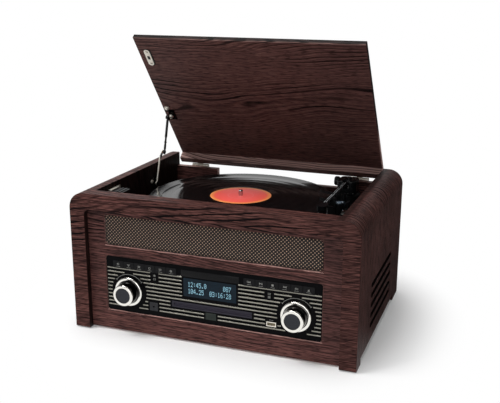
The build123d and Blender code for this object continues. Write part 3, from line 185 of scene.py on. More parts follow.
# Oak veneer, stained wenge and finished in satin lacquer: brown with a pink cast, dark lines where the stain
# sinks into the open pores of each growth ring, peaked figures where the ring's cone was sliced, and short
# pore dashes. Distances are in metres, in the model's frame, or for the lid from its hinge with the lid shut.
@dataclass(frozen=True)
class StainedOakVeneer(Finish):
    """Stained and satin-lacquered oak veneer."""

    grain: Grain = Grain.FRONT
    light: str = "744b46"
    body: str = "2c1a19"
    dark: str = "090304"
    # edge colour and its share below: faces that stand across the leaf are paled towards it, a painted
    # highlight
    edge: str = "c39c93"
    edge_highlight: float = 0.85
    streaks: float = 0.17
    faintest: float = 0.15
    ring_mm: float = 4.4
    heart: Point = (0.10, 0.36, 0.02)
    tilt: float = 0.10
    bow: float = 0.0
    reach: float = 10.0
    slant: float = 0.0
    seed: float = 0.0
    ripple: float = 1.2
    bulk: float = 1.0
    patches: tuple[float, float] = (0.33, 0.55)
    knot: tuple[Point, float, float] | None = None
    bands: tuple[tuple[float, str], ...] = (
        (0.0, "989898"), (0.45, "989898"), (0.70, "ffffff"), (1.0, "ffffff")
    )
    span: tuple[float, float] = (0.0, 0.2)
    # the dark that the wrap's painted shade and the lid's darkened edges go towards
    inside: str = "0a0706"
    shine: float = 0.10
    rows: float = 0.30
    # ramps of painted light and shade on the light fibres
    painted_light_ramps: tuple[tuple[int, float, float, float, float], ...] = ()
    painted_side_light_ramps: tuple[tuple[int, float, float, float, float], ...] = ()
    # features to the metre along the grain, across it and into the leaf, and the detail: for the slow sway,
    # the ragged rings, their fine wiggle, where the lines are strong, the pores and the fibres
    noises: tuple[tuple[Point, float], ...] = (
        ((3.4, 8.0, 6.0), 2.0),
        ((9.0, 75.0, 60.0), 2.0),
        ((60.0, 160.0, 90.0), 2.0),
        ((5.0, 26.0, 20.0), 2.0),
        ((70.0, 760.0, 600.0), 2.0),
        ((26.0, 640.0, 420.0), 4.0),
    )

    def flow(self, tree: Tree) -> tuple[Node, int]:
        """Turn object coordinates so that x runs along the grain, y across it and z into the leaf.

        Args:
            tree: the material's node tree.

        Returns:
            A node and the output that holds the turned coordinates.
        """
        place = add(tree, "TexCoord")
        if self.grain is Grain.LID:
            turned = Matrix.Rotation(LID_OPEN, 3, "X") @ (HINGE * MM)
            back = {"Vector": (place, "Object"), "Rotation": (LID_OPEN, 0, 0), "Location": tuple(-turned)}
            shut = add(tree, "Mapping", back)
            parts = add(tree, "SeparateXYZ", {0: shut})
            across = add(tree, "Math", {0: (parts, 1), 1: (parts, 2)}, operation="ADD")
            return add(tree, "CombineXYZ", {0: parts, 1: across, 2: (parts, 2)}), 0
        split = add(tree, "SeparateXYZ", {0: (place, "Object")})
        level = add(tree, "CombineXYZ", {0: split, 1: (split, 2), 2: (split, 1)})
        if self.grain is Grain.FRONT:
            return level, 0
        outward = add(tree, "Math", {0: split}, operation="ABSOLUTE")
        along = add(tree, "Math", {0: outward, 1: (split, 2)}, operation="SUBTRACT")
        through = add(tree, "Math", {0: split, 1: 0.15}, operation="MULTIPLY")
        round_section = add(tree, "CombineXYZ", {0: along, 1: (split, 1), 2: through})
        facing = add(tree, "SeparateXYZ", {0: (place, "Normal")})
        frontal = add(tree, "Math", {0: (facing, 1)}, operation="ABSOLUTE")
        choose = add(tree, "MapRange", {0: frontal, 1: 0.68, 2: 0.74})
        laid = {0: choose, 4: round_section, 5: level}
        return add(tree, "Mix", laid, data_type="VECTOR"), 1

    def shader(self, tree: Tree) -> Node:
        """Build figure, pores and lacquer.

        Args:
            tree: the material's node tree.

        Returns:
            The lacquered wood's shader.
        """
        flow = self.flow(tree)
        shifted = add(
            tree, "VectorMath", {0: flow, 1: (self.seed, self.seed * 0.7, self.seed * 0.3)}, operation="ADD"
        )
        sway, ragged, wiggle, strength, pores, fibre = (
            add(
                tree,
                "TexNoise",
                {
                    "Vector": add(tree, "Mapping", {"Vector": shifted, "Scale": scale}),
                    "Scale": 1.0,
                    "Detail": detail,
                },
            )
            for scale, detail in self.noises
        )
        lift = add(tree, "MapRange", {0: (sway, "Fac"), 1: 0.2, 2: 0.8, 3: -0.022, 4: 0.022})
        # the leaf cuts the trunk's rings at a distance from the heart that changes along the leaf
        centred = add(tree, "VectorMath", {0: flow, 1: tuple(-c for c in self.heart)}, operation="ADD")
        split = add(tree, "SeparateXYZ", {0: centred})
        across = add(tree, "Math", {0: split, 1: self.slant, 2: (split, 1)}, operation="MULTIPLY_ADD")
        swayed = add(tree, "Math", {0: across, 1: lift}, operation="ADD")
        if self.knot is not None:
            middle, reach, dip = self.knot
            beside = add(tree, "VectorMath", {0: flow, 1: middle}, operation="SUBTRACT")
            squeezed = add(tree, "VectorMath", {0: beside, 1: (0.45, 1.0, 0.0)}, operation="MULTIPLY")
            away = add(tree, "VectorMath", {0: squeezed}, operation="LENGTH")
            pull = add(
                tree, "MapRange", {0: (away, 1), 1: 0.0, 2: reach, 3: dip, 4: 0.0},
                interpolation_type="SMOOTHSTEP"
            )
            swayed = add(tree, "Math", {0: swayed, 1: pull}, operation="ADD")
        near = add(tree, "Math", {0: split, 1: self.reach}, operation="MINIMUM")
        square = add(tree, "Math", {0: near, 1: near}, operation="MULTIPLY")
        tilted = add(tree, "Math", {0: split, 1: self.tilt, 2: (split, 2)}, operation="MULTIPLY_ADD")
        bowed = add(tree, "Math", {0: square, 1: self.bow, 2: tilted}, operation="MULTIPLY_ADD")
        cone = add(tree, "CombineXYZ", {1: swayed, 2: bowed})
        bulk = add(tree, "MapRange", {0: (ragged, "Fac"), 1: 0.25, 2: 0.75, 3: -self.bulk, 4: self.bulk})
        phase = add(tree, "Math", {0: (wiggle, "Fac"), 1: self.ripple, 2: bulk}, operation="MULTIPLY_ADD")
        rings = add(
            tree, "TexWave",
            {"Vector": cone, "Scale": wave_scale(self.ring_mm), "Distortion": 0.0, "Phase Offset": phase},
            wave_type="RINGS", rings_direction="X", wave_profile="SAW"
        )
        line = add(
            tree, "ValToRGB", {0: (rings, "Fac")},
            stops=((0.0, "ffffff"), (0.20, "ffffff"), (0.34, "585858"), (0.52, "000000"), (0.94, "101010"))
        )
        low, high = self.patches
        weight = add(tree, "MapRange", {0: (strength, "Fac"), 1: low, 2: high, 3: self.faintest, 4: 1.0})
        side = None
        if self.grain is not Grain.WRAP:
            leaf = (0, math.sin(LID_OPEN), math.cos(LID_OPEN)) if self.grain is Grain.LID else (0, 1, 0)
            facing = add(tree, "TexCoord")
            square = add(tree, "VectorMath", {0: (facing, "Normal"), 1: leaf}, operation="DOT_PRODUCT")
            flat = add(tree, "Math", {0: (square, 1)}, operation="ABSOLUTE")
            side = add(tree, "MapRange", {0: flat, 1: 0.80, 2: 0.60})
        low, high = self.span
        if self.grain is Grain.LID:
            height = (add(tree, "SeparateXYZ", {0: flow}), 1)
        else:
            height = (add(tree, "SeparateXYZ", {0: (add(tree, "TexCoord"), "Object")}), 2)
        share = add(tree, "MapRange", {0: height, 1: low, 2: high})
        band = add(tree, "ValToRGB", {0: share}, stops=self.bands)
        weight = add(tree, "Math", {0: weight, 1: band}, operation="MULTIPLY")
        if self.grain is Grain.LID:
            weight = add(tree, "Math", {0: weight, 1: side}, operation="MAXIMUM")
        rows = add(
            tree, "TexWave",
            {
                "Vector": cone, "Scale": wave_scale(self.ring_mm / 2), "Distortion": 0.0,
                "Phase Offset": phase
            },
            wave_type="RINGS", rings_direction="X"
        )
        row = add(tree, "MapRange", {0: (rows, "Fac"), 1: 0.55, 2: 0.10, 3: 0.0, 4: self.rows})
        strong = add(tree, "Math", {0: line, 1: weight}, operation="MULTIPLY")
        drawn = add(tree, "Math", {0: strong, 1: row}, operation="MAXIMUM")
        # pores are 0.2 mm wide on the real leaf; they are drawn near 1.2 mm, the narrowest that shows
        pored = add(tree, "MapRange", {0: (pores, "Fac"), 1: 0.50, 2: 0.66})
        streak = add(tree, "MapRange", {0: (fibre, "Fac"), 1: 0.5 - self.streaks, 2: 0.5 + self.streaks})
        # painted light and shade: a ramp is an axis, a start and an end along it, and the factor on the light
        # fibres at either;
        # side ramps act only on faces that are turned sideways
        if self.painted_light_ramps:
            place = add(tree, "TexCoord")
            where = add(tree, "SeparateXYZ", {0: (place, "Object")})
            turned = add(tree, "SeparateXYZ", {0: (place, "Normal")})
            outward = add(tree, "Math", {0: turned}, operation="ABSOLUTE")
            sideways = add(tree, "MapRange", {0: outward, 1: 0.5, 2: 0.9})
            for axis, low, high, first, last in self.painted_light_ramps:
                ramp = add(tree, "MapRange", {0: (where, axis), 1: low, 2: high, 3: first, 4: last})
                streak = add(tree, "Math", {0: streak, 1: ramp}, operation="MULTIPLY")
            for axis, low, high, first, last in self.painted_side_light_ramps:
                ramp = add(tree, "MapRange", {0: (where, axis), 1: low, 2: high, 3: first - 1, 4: last - 1})
                part = add(tree, "Math", {0: ramp, 1: sideways, 2: 1.0}, operation="MULTIPLY_ADD")
                streak = add(tree, "Math", {0: streak, 1: part}, operation="MULTIPLY")
        toned = add(tree, "Mix", {0: streak, 6: linear(self.body), 7: linear(self.light)}, data_type="RGBA")
        lined = add(tree, "Mix", {0: drawn, 6: (toned, 2), 7: linear(self.dark)}, data_type="RGBA")
        pore_depth = add(tree, "Math", {0: pored, 1: 0.80}, operation="MULTIPLY")
        leafed = add(tree, "Mix", {0: pore_depth, 6: (lined, 2), 7: linear(self.dark)}, data_type="RGBA")
        colour = leafed
        if self.grain is not Grain.WRAP:
            # painted highlight: edges and ledges are paled towards the edge colour
            painted_highlight = add(tree, "Math", {0: side, 1: self.edge_highlight}, operation="MULTIPLY")
            if self.grain is Grain.LID:
                # the lid's own edges are darkened; its front corner and the fall's edges are paled, a painted
                # highlight
                place = add(tree, "SeparateXYZ", {0: flow})
                behind = add(tree, "MapRange", {0: (place, 1), 1: -0.10, 2: -0.05})
                top = add(tree, "MapRange", {0: (place, 2), 1: 0.0128, 2: 0.0140, 3: self.edge_highlight, 4: 1.2})
                fall = side
                for factor in (behind, top):
                    fall = add(tree, "Math", {0: fall, 1: factor}, operation="MULTIPLY")
                ahead = add(tree, "MapRange", {0: (place, 1), 1: -0.2815, 2: -0.2840, 3: 0.0, 4: 0.5})
                face = add(tree, "MapRange", {0: flat, 1: 0.60, 2: 0.80})
                line = add(tree, "Math", {0: ahead, 1: face}, operation="MULTIPLY")
                painted_highlight = add(tree, "Math", {0: fall, 1: line}, operation="MAXIMUM")
                # the lid's edges away from the hinge are darkened towards the inside colour
                outer = add(tree, "MapRange", {0: (place, 1), 1: -0.10, 2: -0.05, 3: 0.85, 4: 0.0})
                darkened_edges = add(tree, "Math", {0: side, 1: outer}, operation="MULTIPLY")
                leafed = add(
                    tree, "Mix", {0: darkened_edges, 6: (leafed, 2), 7: linear(self.inside)}, data_type="RGBA"
                )
            spared = add(tree, "MapRange", {0: drawn, 1: 0.0, 2: 0.6, 3: 1.0, 4: 0.2})
            mixed = add(tree, "Math", {0: painted_highlight, 1: spared}, operation="MULTIPLY")
            colour = add(tree, "Mix", {0: mixed, 6: (leafed, 2), 7: linear(self.edge)}, data_type="RGBA")
        else:
            # painted shade: the sawn faces inside the side slots, the well's inner walls and the flat strip on
            # the right wall's top are darkened towards the inside colour
            facing = add(tree, "TexCoord")
            normal = add(tree, "SeparateXYZ", {0: (facing, "Normal")})
            height = add(tree, "SeparateXYZ", {0: (facing, "Object")})
            level = add(tree, "Math", {0: (normal, 2)}, operation="ABSOLUTE")
            sawn = add(tree, "MapRange", {0: level, 1: 0.5, 2: 0.6})
            low = add(tree, "MapRange", {0: (height, 2), 1: 0.16, 2: 0.15})
            slots = add(tree, "Math", {0: sawn, 1: low}, operation="MULTIPLY")
            rest = add(tree, "MapRange", {0: height, 1: 0.2005, 2: 0.1985, 3: 0.0, 4: 0.55})
            over = add(tree, "MapRange", {0: height, 1: 0.188, 2: 0.190})
            crown = add(tree, "MapRange", {0: (height, 2), 1: 0.215, 2: 0.218})
            strip = sawn
            for factor in (rest, over, crown):
                strip = add(tree, "Math", {0: strip, 1: factor}, operation="MULTIPLY")
            inward = add(tree, "Math", {0: normal, 1: height}, operation="MULTIPLY")
            well = add(tree, "MapRange", {0: inward, 1: -0.05, 2: -0.10, 3: 0.0, 4: 0.8})
            hidden = add(tree, "Math", {0: slots, 1: well}, operation="MAXIMUM")
            painted_shade = add(tree, "Math", {0: hidden, 1: strip}, operation="MAXIMUM")
            colour = add(
                tree, "Mix", {0: painted_shade, 6: (leafed, 2), 7: linear(self.inside)}, data_type="RGBA"
            )
        sunk = add(tree, "Math", {0: drawn, 1: pored}, operation="ADD")
        relief = add(tree, "Bump", {"Strength": 0.22, "Distance": 0.0004, "Height": sunk}, invert=True)
        gloss = add(tree, "MapRange", {0: sunk, 1: 0.0, 2: 1.5, 3: 0.45, 4: 0.62})
        return add(
            tree, "BsdfPrincipled",
            {
                "Base Color": (colour, 2), "Roughness": gloss, "Normal": relief,
                "Specular IOR Level": self.shine
            }
        )


# Plastics moulded in a tool: an even colour with a faint mottle, and the tool's sparked or polished surface.
# Rubber, felt, print, cast acrylic and coil tape are made the same way, with more or less texture and shine.
@dataclass(frozen=True)
class MouldedPlastic(Finish):
    """Injection-moulded plastic with the tool's own surface."""

    colour: str = "101012"
    mottle: str = "16161a"
    roughness: float = 0.3
    sparks_mm: float = 0.8
    spark_depth: float = 0.15
    shine: float = 0.5

    def shader(self, tree: Tree) -> Node:
        """Build the mottle and the tool's texture.

        Args:
            tree: the material's node tree.

        Returns:
            The plastic's shader.
        """
        place = add(tree, "TexCoord")
        cloud = add(tree, "TexNoise", {"Vector": (place, "Object"), "Scale": 60.0, "Detail": 3.0})
        colour = add(
            tree, "Mix", {0: (cloud, "Fac"), 6: linear(self.colour), 7: linear(self.mottle)},
            data_type="RGBA"
        )
        sparks = add(
            tree, "TexNoise",
            {"Vector": (place, "Object"), "Scale": 1 / (self.sparks_mm * MM), "Detail": 2.0}
        )
        relief = add(
            tree, "Bump", {"Strength": self.spark_depth, "Distance": 0.0001, "Height": (sparks, "Fac")}
        )
        gloss = add(
            tree, "MapRange",
            {0: (cloud, "Fac"), 1: 0.3, 2: 0.7, 3: self.roughness * 0.85, 4: self.roughness * 1.15}
        )
        return add(
            tree, "BsdfPrincipled",
            {
                "Base Color": (colour, 2), "Roughness": gloss, "Normal": relief,
                "Specular IOR Level": self.shine
            }
        )


class Brush(Enum):
    """How a metal's surface was worked."""

    PLATED = "polished and plated, with faint clouding"
    BRUSHED = "brushed level, with fine lines along x"
    ROLLED = "rolled or stamped sheet, with a coarse dull mottle"


# Metals: the colour is the metal's own reflection; plating clouds it a little, brushing draws it out into
# lines and rolled sheet scatters it into a dull mottle.
@dataclass(frozen=True)
class WorkedMetal(Finish):
    """A metal and the way its surface was worked."""

    colour: str = "d0cdc6"
    shade: str = "b8b4ac"
    roughness: float = 0.12
    brush: Brush = Brush.PLATED

    def shader(self, tree: Tree) -> Node:
        """Build the worked surface.

        Args:
            tree: the material's node tree.

        Returns:
            The metal's shader.
        """
        scale, relief_strength = {
            Brush.PLATED: ((220.0, 220.0, 220.0), 0.02),
            Brush.BRUSHED: ((40.0, 1500.0, 1500.0), 0.12),
            Brush.ROLLED: ((400.0, 400.0, 400.0), 0.12),
        }[self.brush]
        place = add(tree, "TexCoord")
        marks = add(
            tree, "TexNoise",
            {
                "Vector": add(tree, "Mapping", {"Vector": (place, "Object"), "Scale": scale}), "Scale": 1.0,
                "Detail": 3.0
            }
        )
        colour = add(
            tree, "Mix", {0: (marks, "Fac"), 6: linear(self.colour), 7: linear(self.shade)},
            data_type="RGBA"
        )
        relief = add(
            tree, "Bump", {"Strength": relief_strength, "Distance": 0.0001, "Height": (marks, "Fac")}
        )
        gloss = add(
            tree, "MapRange",
            {0: (marks, "Fac"), 1: 0.3, 2: 0.7, 3: self.roughness * 0.8, 4: self.roughness * 1.2}
        )
        return add(
            tree, "BsdfPrincipled",
            {"Base Color": (colour, 2), "Roughness": gloss, "Normal": relief, "Metallic": 1.0}
        )


# Aluminium turned on a lathe: rings about the part's axis, in an even dark grey.
@dataclass(frozen=True)
class SpunAluminium(Finish):
    """Lathe-turned face, with rings about an axis along y."""

    centre: Point = (0.0, 0.0, 0.0)
    colour: str = "47484c"
    shade: str = "242528"
    ring_mm: float = 1.1
    roughness: float = 0.3

    def shader(self, tree: Tree) -> Node:
        """Build the turned rings.

        Args:
            tree: the material's node tree.

        Returns:
            The metal's shader.
        """
        centred = centred_on(tree, self.centre)
        # the tool's feed is about 0.1 mm; the rings are drawn some ten times as coarse, so that they show
        rings = add(
            tree, "TexWave",
            {"Vector": centred, "Scale": wave_scale(self.ring_mm), "Distortion": 0.6, "Detail": 1.0},
            wave_type="RINGS", rings_direction="Y"
        )
        colour = add(
            tree, "Mix", {0: (rings, "Fac"), 6: linear(self.shade), 7: linear(self.colour)},
            data_type="RGBA"
        )
        relief = add(tree, "Bump", {"Strength": 0.12, "Distance": 0.0001, "Height": (rings, "Fac")})
        return add(
            tree, "BsdfPrincipled",
            {
                "Base Color": (colour, 2), "Roughness": self.roughness, "Normal": relief, "Metallic": 1.0,
                "Anisotropic": 0.6
            }
        )


# Vinyl pressed into a record: glossy black that the spiral groove breaks into fine rings, with smoother bands
# between the tracks.
@dataclass(frozen=True)
class PressedVinyl(Finish):
    """Record vinyl, with its groove about the disc's centre."""

    centre: Point = SPINDLE
    groove_mm: float = 2.2
    track_mm: float = 17.0

    def shader(self, tree: Tree) -> Node:
        """Build the grooved surface.

        Args:
            tree: the material's node tree.

        Returns:
            The vinyl's shader.
        """
        centred = centred_on(tree, self.centre)
        # the groove's pitch is 0.1 mm; it is drawn at 2.2 mm, so that its rings show at all
        rings, tracks = (
            add(
                tree, "TexWave", {"Vector": centred, "Scale": wave_scale(spacing), "Distortion": 0.0},
                wave_type="RINGS", rings_direction="Z"
            )
            for spacing in (self.groove_mm, self.track_mm)
        )
        gap = add(tree, "MapRange", {0: (tracks, "Fac"), 1: 0.90, 2: 0.99, 3: 0.13, 4: 0.08})
        colour = add(
            tree, "Mix", {0: (rings, "Fac"), 6: linear("070708"), 7: linear("0d0d0e")}, data_type="RGBA"
        )
        relief = add(tree, "Bump", {"Strength": 0.02, "Distance": 0.0001, "Height": (rings, "Fac")})
        return add(
            tree, "BsdfPrincipled",
            {"Base Color": (colour, 2), "Roughness": gap, "Normal": relief, "Specular IOR Level": 0.30}
        )


# Paper label, printed and pressed into the disc: coral with an orange rim and a pale ring, faintly fibrous.
@dataclass(frozen=True)
class PrintedLabel(Finish):
    """Printed paper label about the disc's centre."""

    centre: Point = SPINDLE
    radius_mm: float = 50.0

    def shader(self, tree: Tree) -> Node:
        """Build the printed rings.

        Args:
            tree: the material's node tree.

        Returns:
            The label's shader.
        """
        centred = centred_on(tree, self.centre)
        split = add(tree, "SeparateXYZ", {0: centred})
        flat = add(tree, "CombineXYZ", {0: split, 1: (split, 1)})
        radius = add(tree, "VectorMath", {0: flat}, operation="LENGTH")
        share = add(tree, "MapRange", {0: (radius, 1), 1: 0.0, 2: self.radius_mm * MM})
        rings = add(
            tree, "ValToRGB", {0: share},
            stops=(
                (0.0, "ff6c66"), (0.40, "ff6662"), (0.41, "ff9488"), (0.43, "ff6662"), (0.85, "ff6356"),
                (0.90, "ff9050"), (1.0, "ffa060")
            )
        )
        place = add(tree, "TexCoord")
        fibre = add(tree, "TexNoise", {"Vector": (place, "Object"), "Scale": 900.0, "Detail": 2.0})
        tooth = add(tree, "Bump", {"Strength": 0.05, "Distance": 0.0001, "Height": (fibre, "Fac")})
        return add(tree, "BsdfPrincipled", {"Base Color": rings, "Roughness": 0.38, "Normal": tooth})


# Loudspeaker cloth, woven from beige and black yarn: the beige crossings make a diagonal pattern of dots.
@dataclass(frozen=True)
class WovenGrilleCloth(Finish):
    """Two-tone woven cloth, with its yarns at 45 degrees."""

    beige: str = "c0a28a"
    black: str = "0d0504"
    dot_mm: float = 3.85

    def shader(self, tree: Tree) -> Node:
        """Build the weave.

        Args:
            tree: the material's node tree.

        Returns:
            The cloth's shader.
        """
        place = add(tree, "TexCoord")
        turned = add(tree, "Mapping", {"Vector": (place, "Object"), "Rotation": (0, math.radians(45), 0)})
        level, upright = (
            add(
                tree, "TexWave", {"Vector": turned, "Scale": wave_scale(self.dot_mm), "Distortion": 0.0},
                wave_type="BANDS", bands_direction=way
            )
            for way in ("X", "Z")
        )
        crossing = add(tree, "Math", {0: (level, "Fac"), 1: (upright, "Fac")}, operation="MULTIPLY")
        shown = add(tree, "MapRange", {0: crossing, 1: 0.44, 2: 0.92})
        colour = add(
            tree, "Mix", {0: shown, 6: linear(self.black), 7: linear(self.beige)}, data_type="RGBA"
        )
        relief = add(tree, "Bump", {"Strength": 0.5, "Distance": 0.0004, "Height": crossing})
        return add(
            tree, "BsdfPrincipled",
            {"Base Color": (colour, 2), "Roughness": 0.85, "Normal": relief, "Sheen Weight": 0.08}
        )


# Pressed or laminated sheet, brown, black or green, with paler flecks in it: boards, circuits, cone paper.
@dataclass(frozen=True)
class FibreBoard(Finish):
    """Board or paper, with flecks of one scale."""

    colour: str = "6d4d35"
    fleck: str = "8a6a4c"
    fleck_mm: float = 1.6
    roughness: float = 0.7

    def shader(self, tree: Tree) -> Node:
        """Build the flecked sheet.

        Args:
            tree: the material's node tree.

        Returns:
            The board's shader.
        """
        flecks = add(
            tree, "TexNoise",
            {"Vector": (add(tree, "TexCoord"), "Object"), "Scale": 1 / (self.fleck_mm * MM), "Detail": 4.0}
        )
        share = add(tree, "MapRange", {0: (flecks, "Fac"), 1: 0.42, 2: 0.68})
        colour = add(
            tree, "Mix", {0: share, 6: linear(self.colour), 7: linear(self.fleck)}, data_type="RGBA"
        )
        relief = add(tree, "Bump", {"Strength": 0.2, "Distance": 0.0002, "Height": (flecks, "Fac")})
        return add(
            tree, "BsdfPrincipled",
            {"Base Color": (colour, 2), "Roughness": self.roughness, "Normal": relief}
        )


# Backlit dots of a character display: an even pale blue glow with a faint grain from the diffuser.
@dataclass(frozen=True)
class LitDot(Finish):
    """Glowing dot of a display."""

    colour: str = "a8dcee"
    shade: str = "8cc8e0"
    unlit: str = "20343c"
    glow: float = 0.95

    def shader(self, tree: Tree) -> Node:
        """Build the glow.

        Args:
            tree: the material's node tree.

        Returns:
            The dot's shader.
        """
        place = add(tree, "TexCoord")
        grain = add(tree, "TexNoise", {"Vector": (place, "Object"), "Scale": 300.0, "Detail": 2.0})
        colour = add(
            tree, "Mix", {0: (grain, "Fac"), 6: linear(self.colour), 7: linear(self.shade)},
            data_type="RGBA"
        )
        return add(
            tree, "BsdfPrincipled",
            {
                "Base Color": linear(self.unlit), "Roughness": 0.3, "Emission Color": (colour, 2),
                "Emission Strength": self.glow
            }
        )


# painted light and shade in the ramps below: darker towards the right on the cabinet and the lid, lighter up
# the sides and darker again at their top, lighter along the front's bottom rail
WRAP_VENEER = StainedOakVeneer(
    "stained_oak_veneer_wrap", Grain.WRAP, light="724a44", body="271615", ring_mm=6.2,
    heart=(0.0, -0.035, 0.07), tilt=0.12, seed=3.1, shine=0.06, painted_light_ramps=((0, 0.140, 0.185, 1.0, 0.76),),
    painted_side_light_ramps=((0, -0.19, 0.19, 0.76, 1.0), (2, 0.085, 0.150, 1.1, 1.9), (2, 0.175, 0.200, 1.0, 0.7))
)
FRONT_VENEER = StainedOakVeneer(
    "stained_oak_veneer_front", Grain.FRONT, seed=3.1,
    painted_light_ramps=((0, 0.140, 0.185, 1.0, 0.76), (2, 0.025, 0.038, 1.5, 1.0))
)
LID_VENEER = StainedOakVeneer(
    "stained_oak_veneer_lid", Grain.LID, light="76524c", body="452b29", dark="0e0606", streaks=0.24,
    faintest=0.35, edge="cfa9a1", rows=0.40, ring_mm=6.2, heart=(-0.075, -0.140, -0.0307), tilt=0.0,
    bow=-0.55, reach=0.05, slant=0.07, seed=1.3, ripple=0.9, bulk=0.9, patches=(0.40, 0.60),
    knot=((-0.018, -0.253, 0.015), 0.034, -0.010), span=(-0.285, 0.015), painted_light_ramps=((0, 0.04, 0.17, 1.0, 0.62),),
    bands=(
        (0.0, "ffffff"), (0.13, "ffffff"), (0.19, "a8a8a8"), (0.27, "a8a8a8"), (0.32, "ffffff"),
        (0.56, "ffffff"), (0.64, "989898"), (1.0, "989898")
    )
)
BACK_VENEER = StainedOakVeneer("stained_oak_veneer_back", Grain.FRONT, heart=(-0.2, 0.10, 0.157), seed=5.2)
LIPPING = StainedOakVeneer(
    "stained_oak_lipping", Grain.FRONT, "6e4c47", "4c302c", "241412", "6e4c47", 0.0, seed=7.7
)
# painted highlight: the sill is a pale copy of the lipping, standing in for the light along each opening's
# lower edge
SILL_HIGHLIGHT = StainedOakVeneer(
    "oak_sill_painted_highlight", Grain.FRONT, "e0b4ac", "b88a82", "6a4642", "e0b4ac", 0.0, seed=7.7
)
GLOSS_FASCIA = MouldedPlastic("moulded_abs_piano_black", "040405", "070709", 0.12, 2.0, 0.01, 0.045)
GLOSS_KEY = MouldedPlastic("moulded_abs_key_black", "08080a", "0c0c0e", 0.14, 2.0, 0.01, 0.14)
SATIN_BLACK = MouldedPlastic("moulded_abs_satin_black", "0d0d0f", "141416", 0.36, 0.8, 0.2, 0.4)
DECK_BLACK = MouldedPlastic("moulded_abs_sparked_deck", "0b0b0c", "111213", 0.40, 0.9, 0.3, 0.3)
HOUSING_GREY = MouldedPlastic("moulded_abs_arm_housing", "0c0d0e", "141618", 0.25, 0.8, 0.15, 0.4)
BEZEL_MAUVE = MouldedPlastic("moulded_abs_disc_bezel", "25222b", "2d2a35", 0.22, 1.5, 0.02, 0.2)
DUST_FELT = MouldedPlastic("pressed_felt_dust_lip", "2a2731", "35313d", 0.85, 0.5, 0.5, 0.2)
JACK_GREY = MouldedPlastic("moulded_abs_jack_cover", "17171b", "202025", 0.35, 1.0, 0.1, 0.3)
IR_TINT = MouldedPlastic("cast_acrylic_infrared_window", "1c211e", "262d29", 0.15, 2.0, 0.01, 0.2)
DISPLAY_TINT = MouldedPlastic("cast_acrylic_display_window", "06141d", "0a1e2b", 0.10, 2.0, 0.01, 0.15)
NYLON_BLACK = MouldedPlastic("moulded_nylon_socket_black", "0f0f10", "18181a", 0.5, 0.9, 0.2)
RUBBER = MouldedPlastic("moulded_rubber_black", "101010", "1a1a1a", 0.75, 0.6, 0.4, 0.3)
COIL_TAPE = MouldedPlastic("polyester_coil_tape", "b38b2c", "c79f3e", 0.4, 1.2, 0.2)
CHROME = WorkedMetal("chromium_plated_zinc", "fbf9f3", "eeebe3", 0.08, Brush.PLATED)
BLACK_CHROME = WorkedMetal("black_chromium_plate", "1c1a19", "100f0e", 0.14, Brush.PLATED)
STRIPE_ALUMINIUM = WorkedMetal("brushed_aluminium_foil_stripe", "98958b", "807d74", 0.34, Brush.BRUSHED)
NICKEL = WorkedMetal("nickel_plated_steel", "c9c3b6", "aaa499", 0.18, Brush.PLATED)
GALVANISED = WorkedMetal("galvanised_steel_sheet", "9a9c9e", "7c7e81", 0.42, Brush.ROLLED)
STEEL = WorkedMetal("polished_steel_rod", "c4c4c4", "aeaeb0", 0.20, Brush.PLATED)
BRASS = WorkedMetal("turned_brass", "c9a050", "ab8438", 0.25, Brush.PLATED)
ARM_TUBE = MouldedPlastic("moulded_abs_arm_gloss", "0b0c0d", "121315", 0.16, 1.2, 0.03, 0.5)
# painted highlight: the wires' pale grey stands in for the glossy arm tube's highlight lines
ARM_WIRE_HIGHLIGHT = MouldedPlastic("pale_wire_painted_highlight", "a9adaf", "bcc0c2", 0.35, 0.8, 0.05, 0.5)
BUTTON_BLUE = MouldedPlastic("moulded_abs_button_blue_grey", "5a6672", "6b7884", 0.22, 0.8, 0.05, 0.6)
SATIN_NICKEL = WorkedMetal("satin_nickel_head", "f6f2e8", "e8e2d4", 0.48, Brush.PLATED)
CAST_PLATTER = WorkedMetal("cast_aluminium_platter", "8c8d8f", "74767a", 0.38, Brush.ROLLED)
PRINT_GREY = MouldedPlastic("pad_printed_icon_grey", "8f8f8a", "7c7c78", 0.5, 0.5, 0.05)
VINYL = PressedVinyl("pressed_vinyl_record")
LABEL = PrintedLabel("printed_paper_label")
CLOTH = WovenGrilleCloth("woven_two_tone_grille_cloth")
BARE_BOARD = FibreBoard("medium_density_fibreboard", "7a5a3e", "94734f", 1.6, 0.8)
BLACK_BOARD = FibreBoard("black_painted_hardboard", "141210", "201d1a", 1.2, 0.6)
CONE_PAPER = FibreBoard("pressed_paper_cone", "1a1918", "2a2826", 0.9, 0.85)
CIRCUIT = FibreBoard("glass_epoxy_circuit_board", "164a2c", "1f6b3e", 2.4, 0.45)
GLOW = LitDot("backlit_display_dot")


# ---------------------------------------------------------------------------
# Work on meshes, in millimetres
# ---------------------------------------------------------------------------
def settle(
    shape: Shape, name: str, finish: Finish, body: str,
    stands_for: Sequence[str] = (), crease: float = 35.0
) -> bpy.types.Object:
    """Turn a mesh in millimetres into a piece that rides on its body.

    Args:
        shape: the mesh, in place in the model's frame; it is freed.
        name: the piece's name.
        finish: what it is made of.
        body: the body it moves with.
        stands_for: CAD nodes that it replaces.
        crease: angle in degrees above which an edge stays sharp.

    Returns:
        The finished piece.
    """
    bmesh.ops.remove_doubles(shape, verts=shape.verts, dist=0.001)
    bmesh.ops.scale(shape, vec=(MM, MM, MM), verts=shape.verts)
    mesh = bpy.data.meshes.new(name)
    shape.to_mesh(mesh)
    shape.free()
    mesh.shade_smooth()
    mesh.set_sharp_from_angle(angle=math.radians(crease))
    mesh.materials.append(finish.material())
    piece = bpy.data.objects.new(name, mesh)
    bpy.context.scene.collection.objects.link(piece)
    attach(piece, body)
    if stands_for:
        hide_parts(*stands_for)
    log.info("built %s: %d faces on %s", name, len(mesh.polygons), body)
    return piece


